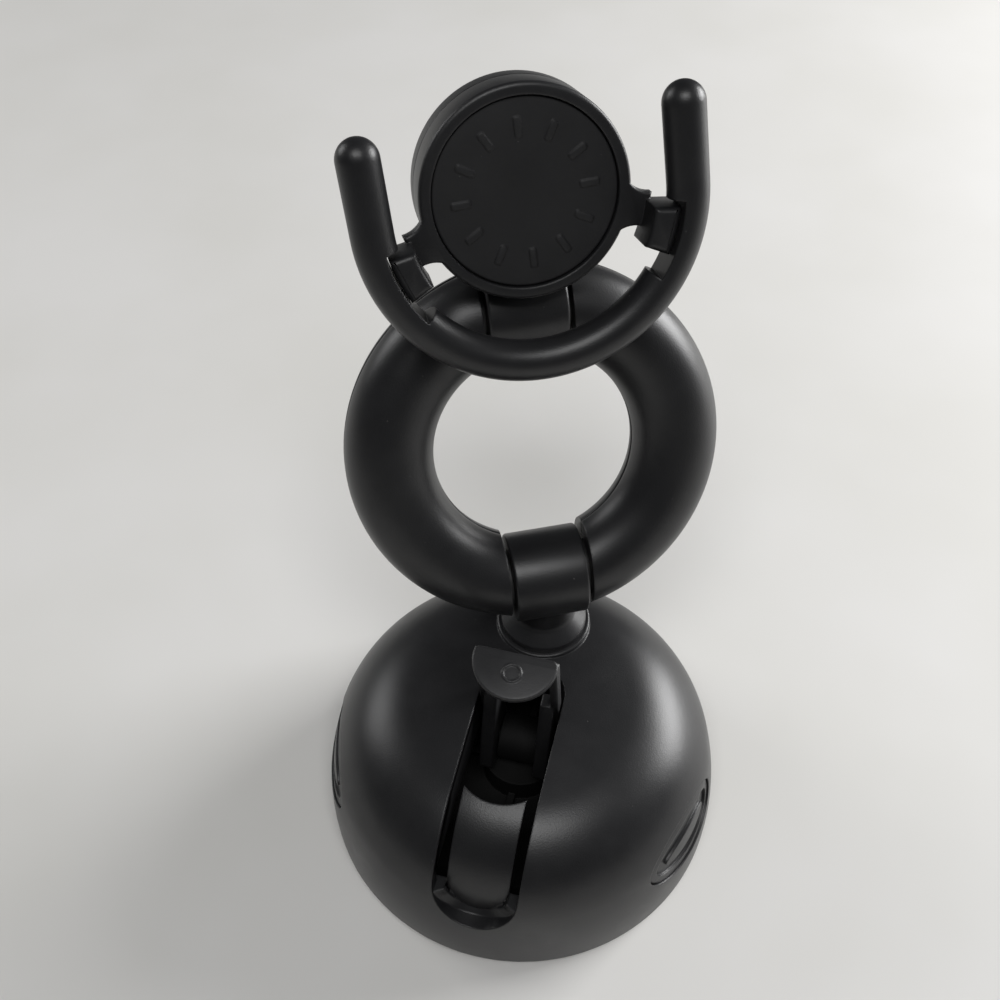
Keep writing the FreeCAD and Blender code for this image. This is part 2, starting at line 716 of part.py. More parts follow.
def head_back():
    split = on_axis(HEAD_SPLIT_Y)
    rear = on_axis(HEAD_BACK_Y)
    cup = rod(HOUSING_R, split, rear)
    cup = soften(cup, HEAD_BACK_ROUND, lambda edge: edge.BoundBox.YMin > HEAD_BACK_Y - RUN_GAP)
    inside = rod(HOUSING_R - HOUSING_WALL, split, rear - Y * HEAD_BACK_WALL)
    inside = inside.cut(clear_of_ring(HEAD_SKIN))
    for p in head_screw_points(HEAD_SPLIT_Y):
        inside = inside.cut(rod(HEAD_BOSS_R, p, V(p.x, HEAD_BACK_Y, p.z)))
    cup = cup.cut(inside).cut(clear_of_ring(0))
    turn_head(cup)
    half = BARREL_W / 2
    web = polygon([V(-half, WEB_FRONT_Y, 0), V(-half, WEB_BACK_Y, 0), V(-half, WEB_BACK_Y, WEB_TOP_Z / 2),
                   V(-half, HEAD_BACK_Y - RUN_GAP, WEB_TOP_Z), V(-half, WEB_FRONT_Y, WEB_TOP_Z)])
    web = prism(web, X * BARREL_W)
    body = join(cup, barrel(), web)
    for p in head_screw_points(HEAD_SPLIT_Y):
        hole = rod(SCREW_R + SCREW_GAP, p, V(p.x, HEAD_BACK_Y, p.z))
        sunk = V(p.x, HEAD_BACK_Y - SCREW_HEAD_H, p.z)
        hole = hole.fuse(rod(SCREW_HEAD_R + SCREW_GAP, sunk, sunk + Y * FAR))
        body = body.cut(turn_head(hole))
    return body.cut(barrel_bore())


def head_screws():
    screws = []
    for p in head_screw_points(HEAD_SCREW_TIP_Y):
        neck_end = V(p.x, HEAD_BACK_Y - SCREW_HEAD_H, p.z)
        head = rod(SCREW_HEAD_R, neck_end, neck_end + Y * SCREW_HEAD_H)
        screws.append(turn_head(join(rod(SCREW_R, p, neck_end), head)))
    return Part.makeCompound(screws)


def disc_insert():
    disc = rod(DISC_R, from_disc(0), from_disc(-DISC_T))
    dish = rod(DISC_DISH_R, from_disc(0), from_disc(-DISC_DISH))
    return turn_head(disc.cut(dish))


def cradle():
    centre = V(0, cradle_y(), DISC_UP - U_DROP)
    bow = Part.makeTorus(U_R, U_TUBE_R, centre, Y)
    bow = bow.common(box(-FAR, FAR, -FAR, FAR, -FAR, centre.z))
    arms = []
    for side in (-1, 1):
        foot = centre + X * side * U_R
        tip = V(foot.x, foot.y, DISC_UP + U_TOP)
        arms += [rod(U_TUBE_R, foot, tip), Part.makeSphere(U_TUBE_R, tip)]
    body = join(bow, *arms)
    pocket = sector(U_R - U_TUBE_R - POCKET_DEEP, U_R - U_TUBE_R + POCKET_DEEP, POCKET_FROM, POCKET_TO,
                    centre.y - U_TUBE_R * 2, centre.y + U_TUBE_R * 2)
    body = body.cut(pocket).cut(mirrored(pocket))
    return turn_head(body.removeSplitter())


def on_head(shape):
    lean = math.radians(RING_LEAN)
    yaw = math.radians(NECK_YAW)
    reach = 2 * RING_R
    top = V(-math.sin(yaw) * math.sin(lean), math.cos(yaw) * math.sin(lean), math.cos(lean)) * reach
    return swung(shape, HEAD_LEAN, NECK_YAW, LOW_HINGE + top)


os.makedirs("parts", exist_ok=True)
save("dome_shell", dome_shell())
save("side_pad_right", side_pad(1))
save("side_pad_left", side_pad(-1))
save("base_frame", base_frame())
save("base_screws", base_screws())
save("base_ring", base_ring())
save("cup_lip", cup_lip())
save("cup_bell", cup_bell())
save("cup_stem", cup_stem())
save("stem_pin", stem_pin())
save("return_spring", return_spring())
save("lever", lever())
save("neck", neck())
save("swivel_bush", swivel_bush())
save("swivel_washer", swivel_washer())
save("swivel_retainer", swivel_retainer())
save("ring_right_front", on_ring(ring_half(1, False)))
save("ring_right_back", on_ring(ring_half(1, True)))
save("ring_left_front", on_ring(ring_half(-1, False)))
save("ring_left_back", on_ring(ring_half(-1, True)))
save("ring_screws", on_ring(ring_screws()))
save("lower_hinge_pin", on_ring(hinge_pin()))
save("lower_hinge_bush", swung(hinge_bush(), 0, NECK_YAW, LOW_HINGE))
save("lower_hinge_washers", on_ring(hinge_washers()))
save("upper_hinge_pin", on_head(hinge_pin()))
save("upper_hinge_bush", on_head(hinge_bush()))
save("upper_hinge_washers", on_head(hinge_washers()))
save("head_back", on_head(head_back()))
save("head_housing", on_head(head_housing()))
save("head_screws", on_head(head_screws()))
save("disc_insert", on_head(disc_insert()))
save("cradle", on_head(cradle()))
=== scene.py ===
import json
import math

import bmesh
import bpy
from mathutils import Matrix, Vector


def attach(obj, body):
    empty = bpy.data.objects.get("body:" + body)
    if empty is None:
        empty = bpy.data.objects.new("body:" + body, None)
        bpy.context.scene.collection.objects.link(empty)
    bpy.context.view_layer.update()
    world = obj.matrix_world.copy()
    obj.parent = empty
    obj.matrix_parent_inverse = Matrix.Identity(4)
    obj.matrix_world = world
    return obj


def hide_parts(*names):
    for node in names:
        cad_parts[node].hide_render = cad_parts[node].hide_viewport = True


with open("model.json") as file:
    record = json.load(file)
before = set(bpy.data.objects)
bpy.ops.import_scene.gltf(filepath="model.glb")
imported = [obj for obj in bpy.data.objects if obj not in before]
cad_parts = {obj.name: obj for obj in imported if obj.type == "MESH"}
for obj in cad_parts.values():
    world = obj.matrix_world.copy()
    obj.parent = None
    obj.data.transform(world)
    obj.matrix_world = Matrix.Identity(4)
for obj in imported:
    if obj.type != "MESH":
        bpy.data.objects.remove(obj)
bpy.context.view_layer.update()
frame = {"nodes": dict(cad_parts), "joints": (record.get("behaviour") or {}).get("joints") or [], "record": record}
nodes = frame["nodes"]
joints = {joint["name"]: joint for joint in frame["joints"]}
mounts = {mount["name"]: mount for mount in frame["record"]["mounts"]}

# Sizes in metres and degrees. Those that the solids have too are the same here.
# Dome, its slot and the oval pads.
DOME_R = 0.0374
DOME_WIDE_Z = 0.0042
DOME_H = 0.0332
CROWN_ARC = 0.143
SHOULDER_ARC = 0.019
SIDE_ARC = 0.0551
DOME_WALL = 0.0024
DOME_Z0 = 0.0024
SLOT_HALF = 0.00765
SLOT_BACK_Y = 0.0067
SLOT_BACK_ROUND = 0.0055
SLOT_LOW_Z = 0.0141
WELL_WALL = 0.0013
WELL_WALL_Z = 0.022
RECESS_Y = -0.033
RECESS_FLOOR = 0.0022
RECESS_RIM = 0.0018
RECESS_TOP_Z = 0.025
TONGUE_HALF = 0.0056
TONGUE_FOOT_Z = 0.015
TONGUE_SET_BACK = 0.0032
MOUTH_DEEP = 0.001
MOUTH_RIM = 0.0001
TONGUE_EDGE_Y = -0.0205
TONGUE_EDGE_R = 0.0095
CHANNEL_LOW_Z = 0.0196
PAD_ANGLE = 72.0
PAD_Z = 0.016
PAD_LONG = 0.023
PAD_TALL = 0.012
PAD_GAP = 0.0003
PAD_SINK = 0.00035
PAD_RELIEF = 0.0005
PAD_BORDER = 0.0016
# Base ring and suction cup.
BASE_RING_R = 0.0369
BASE_RING_BORE = 0.033
LIP_R = 0.0364
LIP_BORE = 0.030
LIP_H = 0.0012
RING_EDGE = 0.0002
LIP_EDGE = 0.0003
# Seat of the neck on the dome.
SWIVEL_SEAT_Z = 0.0334
SWIVEL_BOSS_R = 0.0088
SWIVEL_BUSH_R = 0.00536
SWIVEL_BOSS_T = 0.006
SWIVEL_BOSS_EDGE = 0.0004
# Flip lever.
LEVER_LEN = 0.0359
LEVER_LEAN = 11.3
CAP_R = 0.0073
CAP_T = 0.0016
CAP_ROUND_Y = 0.0027
CAP_CORNER = 0.0011
CAP_EDGE = 0.00035
BADGE_R = 0.0017
BADGE_BORE = 0.0013
BADGE_T = 0.00025
BADGE_EDGE = 0.0001
BADGE_SINK = 0.00005
ARM_IN = 0.00585
ARM_FRONT = 0.0013
ARM_BACK = 0.00365
ARM_LOW = 0.009
ARM_CORNER = 0.0005
ARM_EDGE = 0.0002
ROOT_IN = 0.0039
ROOT_OUT = 0.0064
ROOT_TOP = 0.018
ROOT_EDGE = 0.0003
CAM_R = 0.0048
CAM_BACK = 78.0
LEVER_SWING = 79.5
STEM_LIFT = 0.0025
# Neck, hinges and ring.
NECK_R = 0.0055
COLLAR_R = 0.008
COLLAR_H = 0.0014
COLLAR_LOW_EDGE = 0.0003
COLLAR_TOP_EDGE = 0.0006
NECK_FILLET = 0.002
BARREL_R = 0.008
BARREL_HALF = 0.0065
BARREL_EDGE = 0.0005
HINGE_GAP = 0.0008
TUBE_R = 0.0075
SEAM_WIDE = 0.0003
SEAM_ROUND = 0.00035
SEAM_IN = 0.0004
SEAM_BULGE = 0.00012
SEAM_MIDDLE = 0.35
# Head.
HEAD_TURN = 3.0
DISC_UP = 0.02085
DISC_FORWARD = 0.0115
DISC_R = 0.01386
DISC_T = 0.0022
DISC_DISH = 0.0003
DISC_DISH_R = 0.0056
# Shares of the dish's radius and depth, from its middle outwards.
DISH_SHAPE = ((0, 0), (0.6, 0.1), (1, 0.45), (1.35, 0.85))
DISC_FLAT_W = 0.003
DISC_EDGE = 0.0003
DISC_GAP = 0.0001
MARK_COUNT = 12
MARK_RING_R = 0.0096
MARK_W = 0.0011
MARK_L = 0.0030
MARK_T = 0.00022
MARK_SINK = 0.00004
MARK_CORNER = 0.3
MARK_EDGE = 0.4
HOUSING_R = 0.0158
HOUSING_BORE = 0.0124
HOUSING_EDGE = 0.0002
RIM_EDGE = 0.0007
RIM_PROUD = 0.0006
HEAD_SPLIT_Y = -0.0058
HEAD_BACK_Y = -0.0005
HEAD_BACK_EDGE = 0.0022
HEAD_CLEAR_R = 0.0083
WEB_FRONT_Y = -0.0054
WEB_BACK_Y = 0.0046
WEB_TOP_Z = 0.017
WEB_BEND = 0.004
WEB_TOP_BEND = 0.001
WEB_SINK = 0.0001
# Cradle and the ears that hold it.
U_R = 0.02318
U_TUBE_R = 0.00318
U_DROP = 0.001
U_TOP = 0.0099
U_FORWARD = 0.0041
POCKET_FROM = 6.0
POCKET_TO = 37.0
POCKET_DEEP = 0.00198
EAR_FROM = 9.0
EAR_TO = 28.0
EAR_T = 0.0022
EAR_EDGE = 0.0004
EAR_LOW_SIDE = ((0.015, -36), (0.0166, -27), (0.019, -25))
EAR_HIGH_SIDE = ((0.019, -9), (0.0166, -7), (0.015, 2))
EAR_GAP = 0.00015
EAR_LEG_R0 = 0.0179
EAR_LEG_Y = 0.0018
EAR_SOFT = 0.0008
# Longer than the whole object, for cutting tools.
FAR = 0.2
# Anything shorter counts as no length.
TINY = 1e-7
# The largest share of a side that a corner's arc takes.
NEARLY_HALF = 0.49
# Fineness of the meshes.
ROUND = 192
ROUND_MEDIUM = 128
ROUND_SMALL = 96
ROUND_TINY = 48
ARC_STEPS = 24
CORNER_STEPS = 12
SHOULDER_STEPS = 28
SLOT_STEPS = 40
TONGUE_STEPS = 32
OVAL_STEPS = 64
CAP_STEPS = 64
CAP_CORNER_STEPS = 8
FINE_BEVEL = 4
CAM_BACK_STEPS = 13
TUBE_STEPS = 48
RING_STEPS = 96
TIP_STEPS = 16
LEG_STEPS = 8


# Small mesh tools.
def link(name, mesh):
    piece = bpy.data.objects.new(name, mesh)
    bpy.context.scene.collection.objects.link(piece)
    return piece


def finished(name, shape, outward=True):
    if outward:
        bmesh.ops.recalc_face_normals(shape, faces=shape.faces)
    mesh = bpy.data.meshes.new(name)
    shape.to_mesh(mesh)
    shape.free()
    return link(name, mesh)


def arc(centre, radius, start, end, steps=ARC_STEPS):
    points = []
    for i in range(steps + 1):
        angle = math.radians(start + (end - start) * i / steps)
        points.append((centre[0] + radius * math.cos(angle), centre[1] + radius * math.sin(angle)))
    return points


def rounded(corners, steps=6):
    # Outline with each corner (x, y, radius) turned into an arc.
    points = []
    count = len(corners)
    for i, (x, y, radius) in enumerate(corners):
        here = Vector((x, y))
        if radius <= 0:
            points.append((x, y))
            continue
        to_last = Vector(corners[i - 1][:2]) - here
        to_next = Vector(corners[(i + 1) % count][:2]) - here
        half = to_last.angle(to_next) / 2
        reach = min(radius / math.tan(half), to_last.length * NEARLY_HALF, to_next.length * NEARLY_HALF)
        real = reach * math.tan(half)
        start = here + to_last.normalized() * reach
        end = here + to_next.normalized() * reach
        inward = (to_last.normalized() + to_next.normalized()).normalized()
        middle = here + inward * real / math.sin(half)
        first = start - middle
        turn = first.angle_signed(end - middle) * -1
        for k in range(steps + 1):
            angle = turn * k / steps
            spoke = Matrix.Rotation(angle, 2) @ first
            points.append(tuple(middle + spoke))
    return points


def turned(name, profile, segments=ROUND, closed=False):
    # Lathe form about Z from (radius, height) points.
    shape = bmesh.new()
    rings = []
    for radius, height in profile:
        if radius < TINY:
            rings.append([shape.verts.new((0, 0, height))])
        else:
            around = [2 * math.pi * k / segments for k in range(segments)]
            rings.append([shape.verts.new((radius * math.cos(a), radius * math.sin(a), height))
                          for a in around])
    pairs = list(zip(rings, rings[1:]))
    if closed:
        pairs.append((rings[-1], rings[0]))
    for low, high in pairs:
        for k in range(segments):
            n = (k + 1) % segments
            corner = [low[k % len(low)], low[n % len(low)], high[n % len(high)], high[k % len(high)]]
            face = list(dict.fromkeys(corner))
            if len(face) > 2:
                shape.faces.new(face)
    return finished(name, shape)


def bar(name, outline, depth, softness=0.0, steps=3):
    # Outline in X and Z pushed along Y, with its long edges softened.
    shape = bmesh.new()
    near = [shape.verts.new((x, 0, z)) for x, z in outline]
    far = [shape.verts.new((x, depth, z)) for x, z in outline]
    shape.faces.new(near)
    shape.faces.new(far)
    count = len(outline)
    for i in range(count):
        n = (i + 1) % count
        shape.faces.new((near[i], near[n], far[n], far[i]))
    if softness:
        bmesh.ops.recalc_face_normals(shape, faces=shape.faces)
        ends = [e for e in shape.edges if abs(e.verts[0].co.y - e.verts[1].co.y) < TINY]
        bmesh.ops.bevel(shape, geom=ends, offset=softness, segments=steps, profile=0.5, affect="EDGES")
    return finished(name, shape)


def block(name, low, high):
    outline = [(low[0], low[2]), (high[0], low[2]), (high[0], high[2]), (low[0], high[2])]
    return moved(bar(name, outline, high[1] - low[1]), Matrix.Translation((0, low[1], 0)))


def moved(piece, matrix):
    piece.data.transform(matrix)
    return piece


def combined(piece, tool, how):
    step = piece.modifiers.new("combine", "BOOLEAN")
    step.operation = how
    step.solver = "EXACT"
    step.object = tool
    ready = piece.evaluated_get(bpy.context.evaluated_depsgraph_get())
    mesh = bpy.data.meshes.new_from_object(ready)
    piece.modifiers.remove(step)
    piece.data = mesh
    bpy.data.objects.remove(tool)
    return piece


def without(piece, tool):
    return combined(piece, tool, "DIFFERENCE")


def within(piece, tool):
    return combined(piece, tool, "INTERSECT")


def with_piece(piece, tool):
    return combined(piece, tool, "UNION")


def copied(piece, name):
    return link(name, piece.data.copy())


def gathered(name, pieces):
    shape = bmesh.new()
    for piece in pieces:
        shape.from_mesh(piece.data)
        bpy.data.objects.remove(piece)
    return finished(name, shape, outward=False)


def shaded(piece, sharp=35.0):
    mesh = piece.data
    mesh.shade_smooth()
    mesh.set_sharp_from_angle(angle=math.radians(sharp))
    return piece


def mirror_x(piece, name):
    twin = copied(piece, name)
    shape = bmesh.new()
    shape.from_mesh(twin.data)
    for vert in shape.verts:
        vert.co.x = -vert.co.x
    bmesh.ops.reverse_faces(shape, faces=shape.faces)
    shape.to_mesh(twin.data)
    shape.free()
    return twin


def settled(piece, body, cad_nodes, material):
    shaded(piece)
    piece.data.materials.clear()
    piece.data.materials.append(material)
    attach(piece, body)
    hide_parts(*cad_nodes)
    return piece


# Places, from the joints and mounts.
low_hinge = Vector(joints["ring_tilt"]["pos_m"])
top_hinge = Vector(joints["head_tilt"]["pos_m"])
swivel = Vector(joints["neck_swivel"]["pos_m"])
pivot = Vector(joints["lever_swing"]["pos_m"])
across = Vector(joints["ring_tilt"]["axis"]).normalized()
ring_up = (top_hinge - low_hinge).normalized()
RING_R = (top_hinge - low_hinge).length / 2
head_back_way = -Vector(mounts["cradle_jaw"]["axis"]).normalized()


def frame_of(x_way, y_way, z_way, origin):
    turn = Matrix((x_way, y_way, z_way)).transposed().to_4x4()
    return Matrix.Translation(origin) @ turn


on_neck = frame_of(across, Vector((0, 0, 1)).cross(across), Vector((0, 0, 1)), low_hinge)
on_ring = frame_of(across, ring_up.cross(across), ring_up, low_hinge)
on_head = frame_of(across, head_back_way, across.cross(head_back_way), top_hinge)
disc_face = Vector((0, -DISC_FORWARD, DISC_UP))
head_turn = (Matrix.Translation(disc_face) @ Matrix.Rotation(math.radians(-HEAD_TURN), 4, "Y")
             @ Matrix.Translation(-disc_face))
on_turned_head = on_head @ head_turn
to_front = Matrix.Rotation(math.radians(90), 4, "X")
to_x = Matrix.Rotation(math.radians(90), 4, "Y")
to_side = Matrix.Rotation(math.radians(90), 4, "Z")


# Shared effects of the plastics: noise scales per metre, the rest as shares.
GRAIN_SCALE = 4000.0
BROAD_SHARE = 0.06
SMEAR_SCALE = 60.0
SMEAR_START = 0.75
SMEAR_COVER = 0.4
SMEAR_CONTRAST = 5.0
DUST_SCALE = 1500.0
DUST_SPECK = 0.11
DUST_ROUGHER = 0.4
DUST_COLOUR = (0.16, 0.155, 0.15, 1)
EDGE_REACH = 0.0004
EDGE_SAMPLES = 6
EDGE_GAIN = 3.0


def group(name, inputs, outputs):
    tree = bpy.data.node_groups.new(name, "ShaderNodeTree")
    for label, kind, value in inputs:
        socket = tree.interface.new_socket(label, in_out="INPUT", socket_type=kind)
        if value is not None:
            socket.default_value = value
    for label, kind in outputs:
        tree.interface.new_socket(label, in_out="OUTPUT", socket_type=kind)
    return tree, tree.nodes.new("NodeGroupInput"), tree.nodes.new("NodeGroupOutput")


def math_node(tree, operation, first, second=None, clamp=False):
    node = tree.nodes.new("ShaderNodeMath")
    node.operation = operation
    node.use_clamp = clamp
    for socket, value in zip(node.inputs, (first, second)):
        if value is None:
            continue
        if isinstance(value, (int, float)):
            socket.default_value = value
        else:
            tree.links.new(value, socket)
    return node.outputs["Value"]


def noise(tree, vector, scale, detail, roughness=0.5):
    node = tree.nodes.new("ShaderNodeTexNoise")
    node.inputs["Detail"].default_value = detail
    node.inputs["Roughness"].default_value = roughness
    tree.links.new(vector, node.inputs["Vector"])
    if isinstance(scale, (int, float)):
        node.inputs["Scale"].default_value = scale
    else:
        tree.links.new(scale, node.inputs["Scale"])
    return node.outputs["Fac"]


def remapped(tree, value, low, high, to_low, to_high):
    node = tree.nodes.new("ShaderNodeMapRange")
    node.inputs["From Min"].default_value = low
    node.inputs["From Max"].default_value = high
    node.inputs["To Min"].default_value = to_low
    node.inputs["To Max"].default_value = to_high
    tree.links.new(value, node.inputs["Value"])
    return node.outputs["Result"]


def moulded_grain():
    # Fine spark-eroded texture of the mould, with a slight unevenness.
    tree, inlet, outlet = group("moulded_grain",
                                [("Vector", "NodeSocketVector", None),
                                 ("Scale", "NodeSocketFloat", GRAIN_SCALE)],
                                [("Height", "NodeSocketFloat"), ("Shade", "NodeSocketFloat")])
    fine = noise(tree, inlet.outputs["Vector"], inlet.outputs["Scale"], 2.0)
    broad_scale = math_node(tree, "MULTIPLY", inlet.outputs["Scale"], BROAD_SHARE)
    broad = noise(tree, inlet.outputs["Vector"], broad_scale, 3.0)
    tree.links.new(fine, outlet.inputs["Height"])
    tree.links.new(remapped(tree, broad, 0.3, 0.7, 0.0, 1.0), outlet.inputs["Shade"])
    return tree


def handled_sheen():
    # Smears left by hands: soft patches where the surface is smoother.
    tree, inlet, outlet = group("handled_sheen",
                                [("Vector", "NodeSocketVector", None),
                                 ("Scale", "NodeSocketFloat", SMEAR_SCALE),
                                 ("Cover", "NodeSocketFloat", 0.5)],
                                [("Mask", "NodeSocketFloat")])
    patch = noise(tree, inlet.outputs["Vector"], inlet.outputs["Scale"], 4.0, 0.6)
    covered = math_node(tree, "MULTIPLY", inlet.outputs["Cover"], SMEAR_COVER)
    start = math_node(tree, "SUBTRACT", SMEAR_START, covered)
    over = math_node(tree, "SUBTRACT", patch, start)
    tree.links.new(math_node(tree, "MULTIPLY", over, SMEAR_CONTRAST, clamp=True), outlet.inputs["Mask"])
    return tree


def settled_dust():
    # Sparse pale specks on faces that look up.
    tree, inlet, outlet = group("settled_dust",
                                [("Vector", "NodeSocketVector", None),
                                 ("Scale", "NodeSocketFloat", DUST_SCALE),
                                 ("Amount", "NodeSocketFloat", 0.02)],
                                [("Mask", "NodeSocketFloat")])
    cells = tree.nodes.new("ShaderNodeTexVoronoi")
    tree.links.new(inlet.outputs["Vector"], cells.inputs["Vector"])
    tree.links.new(inlet.outputs["Scale"], cells.inputs["Scale"])
    split = tree.nodes.new("ShaderNodeSeparateColor")
    tree.links.new(cells.outputs["Color"], split.inputs["Color"])
    chosen = math_node(tree, "LESS_THAN", split.outputs["Red"], inlet.outputs["Amount"])
    core = math_node(tree, "LESS_THAN", cells.outputs["Distance"], DUST_SPECK)
    facing = tree.nodes.new("ShaderNodeNewGeometry")
    parts = tree.nodes.new("ShaderNodeSeparateXYZ")
    tree.links.new(facing.outputs["Normal"], parts.inputs["Vector"])
    upward = remapped(tree, parts.outputs["Z"], 0.0, 0.7, 0.0, 1.0)
    speck = math_node(tree, "MULTIPLY", chosen, core)
    tree.links.new(math_node(tree, "MULTIPLY", speck, upward, clamp=True), outlet.inputs["Mask"])
    return tree


def rubbed_edge():
    # How far an edge is rounded off, as a mask and as a normal.
    tree, inlet, outlet = group("rubbed_edge", [("Gain", "NodeSocketFloat", EDGE_GAIN)],
                                [("Mask", "NodeSocketFloat"), ("Normal", "NodeSocketVector")])
    soft = tree.nodes.new("ShaderNodeBevel")
    soft.samples = EDGE_SAMPLES
    soft.inputs["Radius"].default_value = EDGE_REACH
    facing = tree.nodes.new("ShaderNodeNewGeometry")
    dot = tree.nodes.new("ShaderNodeVectorMath")
    dot.operation = "DOT_PRODUCT"
    tree.links.new(soft.outputs["Normal"], dot.inputs[0])
    tree.links.new(facing.outputs["Normal"], dot.inputs[1])
    away = math_node(tree, "SUBTRACT", 1.0, dot.outputs["Value"])
    mask = math_node(tree, "MULTIPLY", away, inlet.outputs["Gain"], clamp=True)
    tree.links.new(mask, outlet.inputs["Mask"])
    tree.links.new(soft.outputs["Normal"], outlet.inputs["Normal"])
    return tree


GRAIN = moulded_grain()
SHEEN = handled_sheen()
DUST = settled_dust()
EDGE = rubbed_edge()


def mixed(tree, factor, first, second):
    node = tree.nodes.new("ShaderNodeMix")
    node.data_type = "RGBA"
    colours = [socket for socket in node.inputs if socket.type == "RGBA"]
    tree.links.new(factor, node.inputs[0])
    for socket, value in zip(colours, (first, second)):
        if isinstance(value, tuple):
            socket.default_value = value
        else:
            tree.links.new(value, socket)
    return [socket for socket in node.outputs if socket.type == "RGBA"][0]


def plastic(name, dark, light, rough, smooth, grain=GRAIN_SCALE, bump=0.00002, dust=0.012,
            specular=0.5, metallic=0.0):
    material = bpy.data.materials.new(name)
    material.use_nodes = True
    tree = material.node_tree
    shader = tree.nodes["Principled BSDF"]
    place = tree.nodes.new("ShaderNodeTexCoord").outputs["Object"]

    def effect(kind, **values):
        node = tree.nodes.new("ShaderNodeGroup")
        node.node_tree = kind
        if "Vector" in node.inputs:
            tree.links.new(place, node.inputs["Vector"])
        for label, value in values.items():
            node.inputs[label].default_value = value
        return node

    grained = effect(GRAIN, Scale=grain)
    smear = effect(SHEEN)
    specks = effect(DUST, Amount=dust)
    rubbed = effect(EDGE)
    colour = mixed(tree, grained.outputs["Shade"], dark, light)
    colour = mixed(tree, rubbed.outputs["Mask"], colour, light)
    colour = mixed(tree, specks.outputs["Mask"], colour, DUST_COLOUR)
    tree.links.new(colour, shader.inputs["Base Color"])
    gloss = remapped(tree, smear.outputs["Mask"], 0.0, 1.0, rough, smooth)
    dusty = math_node(tree, "MULTIPLY", specks.outputs["Mask"], DUST_ROUGHER)
    gloss = math_node(tree, "ADD", gloss, dusty, clamp=True)
    tree.links.new(gloss, shader.inputs["Roughness"])
    relief = tree.nodes.new("ShaderNodeBump")
    relief.inputs["Distance"].default_value = bump
    relief.inputs["Strength"].default_value = 1.0
    tree.links.new(grained.outputs["Height"], relief.inputs["Height"])
    tree.links.new(rubbed.outputs["Normal"], relief.inputs["Normal"])
    tree.links.new(relief.outputs["Normal"], shader.inputs["Normal"])
    shader.inputs["Specular IOR Level"].default_value = specular
    shader.inputs["Metallic"].default_value = metallic
    return material


DOME_BLACK = plastic("dome_black", (0.010, 0.010, 0.011, 1), (0.014, 0.014, 0.015, 1), 0.36, 0.28)
ARM_BLACK = plastic("arm_black", (0.009, 0.009, 0.010, 1), (0.013, 0.013, 0.014, 1), 0.38, 0.30)
HEAD_BLACK = plastic("head_black", (0.010, 0.010, 0.011, 1), (0.014, 0.014, 0.015, 1), 0.40, 0.32)
DISC_BLACK = plastic("disc_black", (0.008, 0.008, 0.009, 1), (0.011, 0.011, 0.012, 1), 0.55, 0.45,
                     dust=0.02)
LEVER_BLACK = plastic("lever_black", (0.014, 0.014, 0.015, 1), (0.020, 0.020, 0.021, 1), 0.40, 0.32)
PAD_BLACK = plastic("pad_black", (0.009, 0.009, 0.010, 1), (0.012, 0.012, 0.013, 1), 0.36, 0.28)
RUBBER_BLACK = plastic("rubber_black", (0.012, 0.012, 0.012, 1), (0.018, 0.018, 0.018, 1), 0.75, 0.65,
                       grain=3000.0)
# Painted shade: the frame parts inside the lever's well get a darker, duller black than the other plastics, so
# that they look as shaded as the well round them.
FRAME_BLACK_PAINTED_SHADE = plastic("frame_black_painted_shade", (0.003, 0.003, 0.003, 1), (0.005, 0.005, 0.005, 1), 0.70, 0.62,
                      specular=0.2)
BEARING_DARK = plastic("bearing_dark", (0.030, 0.030, 0.030, 1), (0.045, 0.045, 0.045, 1), 0.5, 0.4)
STEEL = plastic("steel", (0.45, 0.45, 0.46, 1), (0.60, 0.60, 0.61, 1), 0.35, 0.28, grain=6000.0,
                bump=0.000005, dust=0.01, metallic=1.0)

SLOT_MATERIALS = {
    "dome_plastic": DOME_BLACK, "pad_plastic": PAD_BLACK, "frame_plastic": FRAME_BLACK_PAINTED_SHADE, "steel": STEEL,
    "ring_rubber": RUBBER_BLACK, "cup_rubber": RUBBER_BLACK, "lever_plastic": LEVER_BLACK,
    "arm_plastic": ARM_BLACK, "bush_plastic": BEARING_DARK, "head_plastic": HEAD_BLACK,
    "disc_plastic": DISC_BLACK, "cradle_plastic": ARM_BLACK,
}
for part in frame["record"]["subparts"]:
    solid = nodes[part["node"]]
    solid.data.materials.clear()
    solid.data.materials.append(SLOT_MATERIALS[part["material_slot"]])


# Dome, side pads and foot.
def shoulder_centre():
    # Centre of the arc that is tangent to the crown and to the side.
    first = Vector((0.0, DOME_H - CROWN_ARC))
    second = Vector((DOME_R - SIDE_ARC, DOME_WIDE_Z))
    reach_1 = CROWN_ARC - SHOULDER_ARC
    reach_2 = SIDE_ARC - SHOULDER_ARC
    way = second - first
    apart = way.length
    along = (reach_1 ** 2 - reach_2 ** 2 + apart ** 2) / (2 * apart)
    over = math.sqrt(reach_1 ** 2 - along ** 2)
    return (first.x + (along * way.x + over * way.y) / apart,
            first.y + (along * way.y - over * way.x) / apart)


def dome_profile(inset, foot_z):
    # Points from the crown down to the foot, moved inwards by the inset.
    cx, cz = shoulder_centre()
    crown_z = DOME_H - CROWN_ARC
    side_x = DOME_R - SIDE_ARC
    lean_1 = math.degrees(math.atan2(cx, cz - crown_z))
    lean_2 = math.degrees(math.atan2(cz - DOME_WIDE_Z, cx - side_x))
    drop = math.degrees(math.asin((foot_z - DOME_WIDE_Z) / (SIDE_ARC - inset)))
    points = arc((0, crown_z), CROWN_ARC - inset, 90, 90 - lean_1, CORNER_STEPS)
    points[0] = (0.0, points[0][1])
    points += arc((cx, cz), SHOULDER_ARC - inset, 90 - lean_1, lean_2, SHOULDER_STEPS)[1:]
    points += arc((side_x, DOME_WIDE_Z), SIDE_ARC - inset, lean_2, drop, CORNER_STEPS)[1:]
    return points


def dome_solid(name, inset):
    return turned(name, dome_profile(inset, DOME_Z0) + [(0.0, DOME_Z0)])


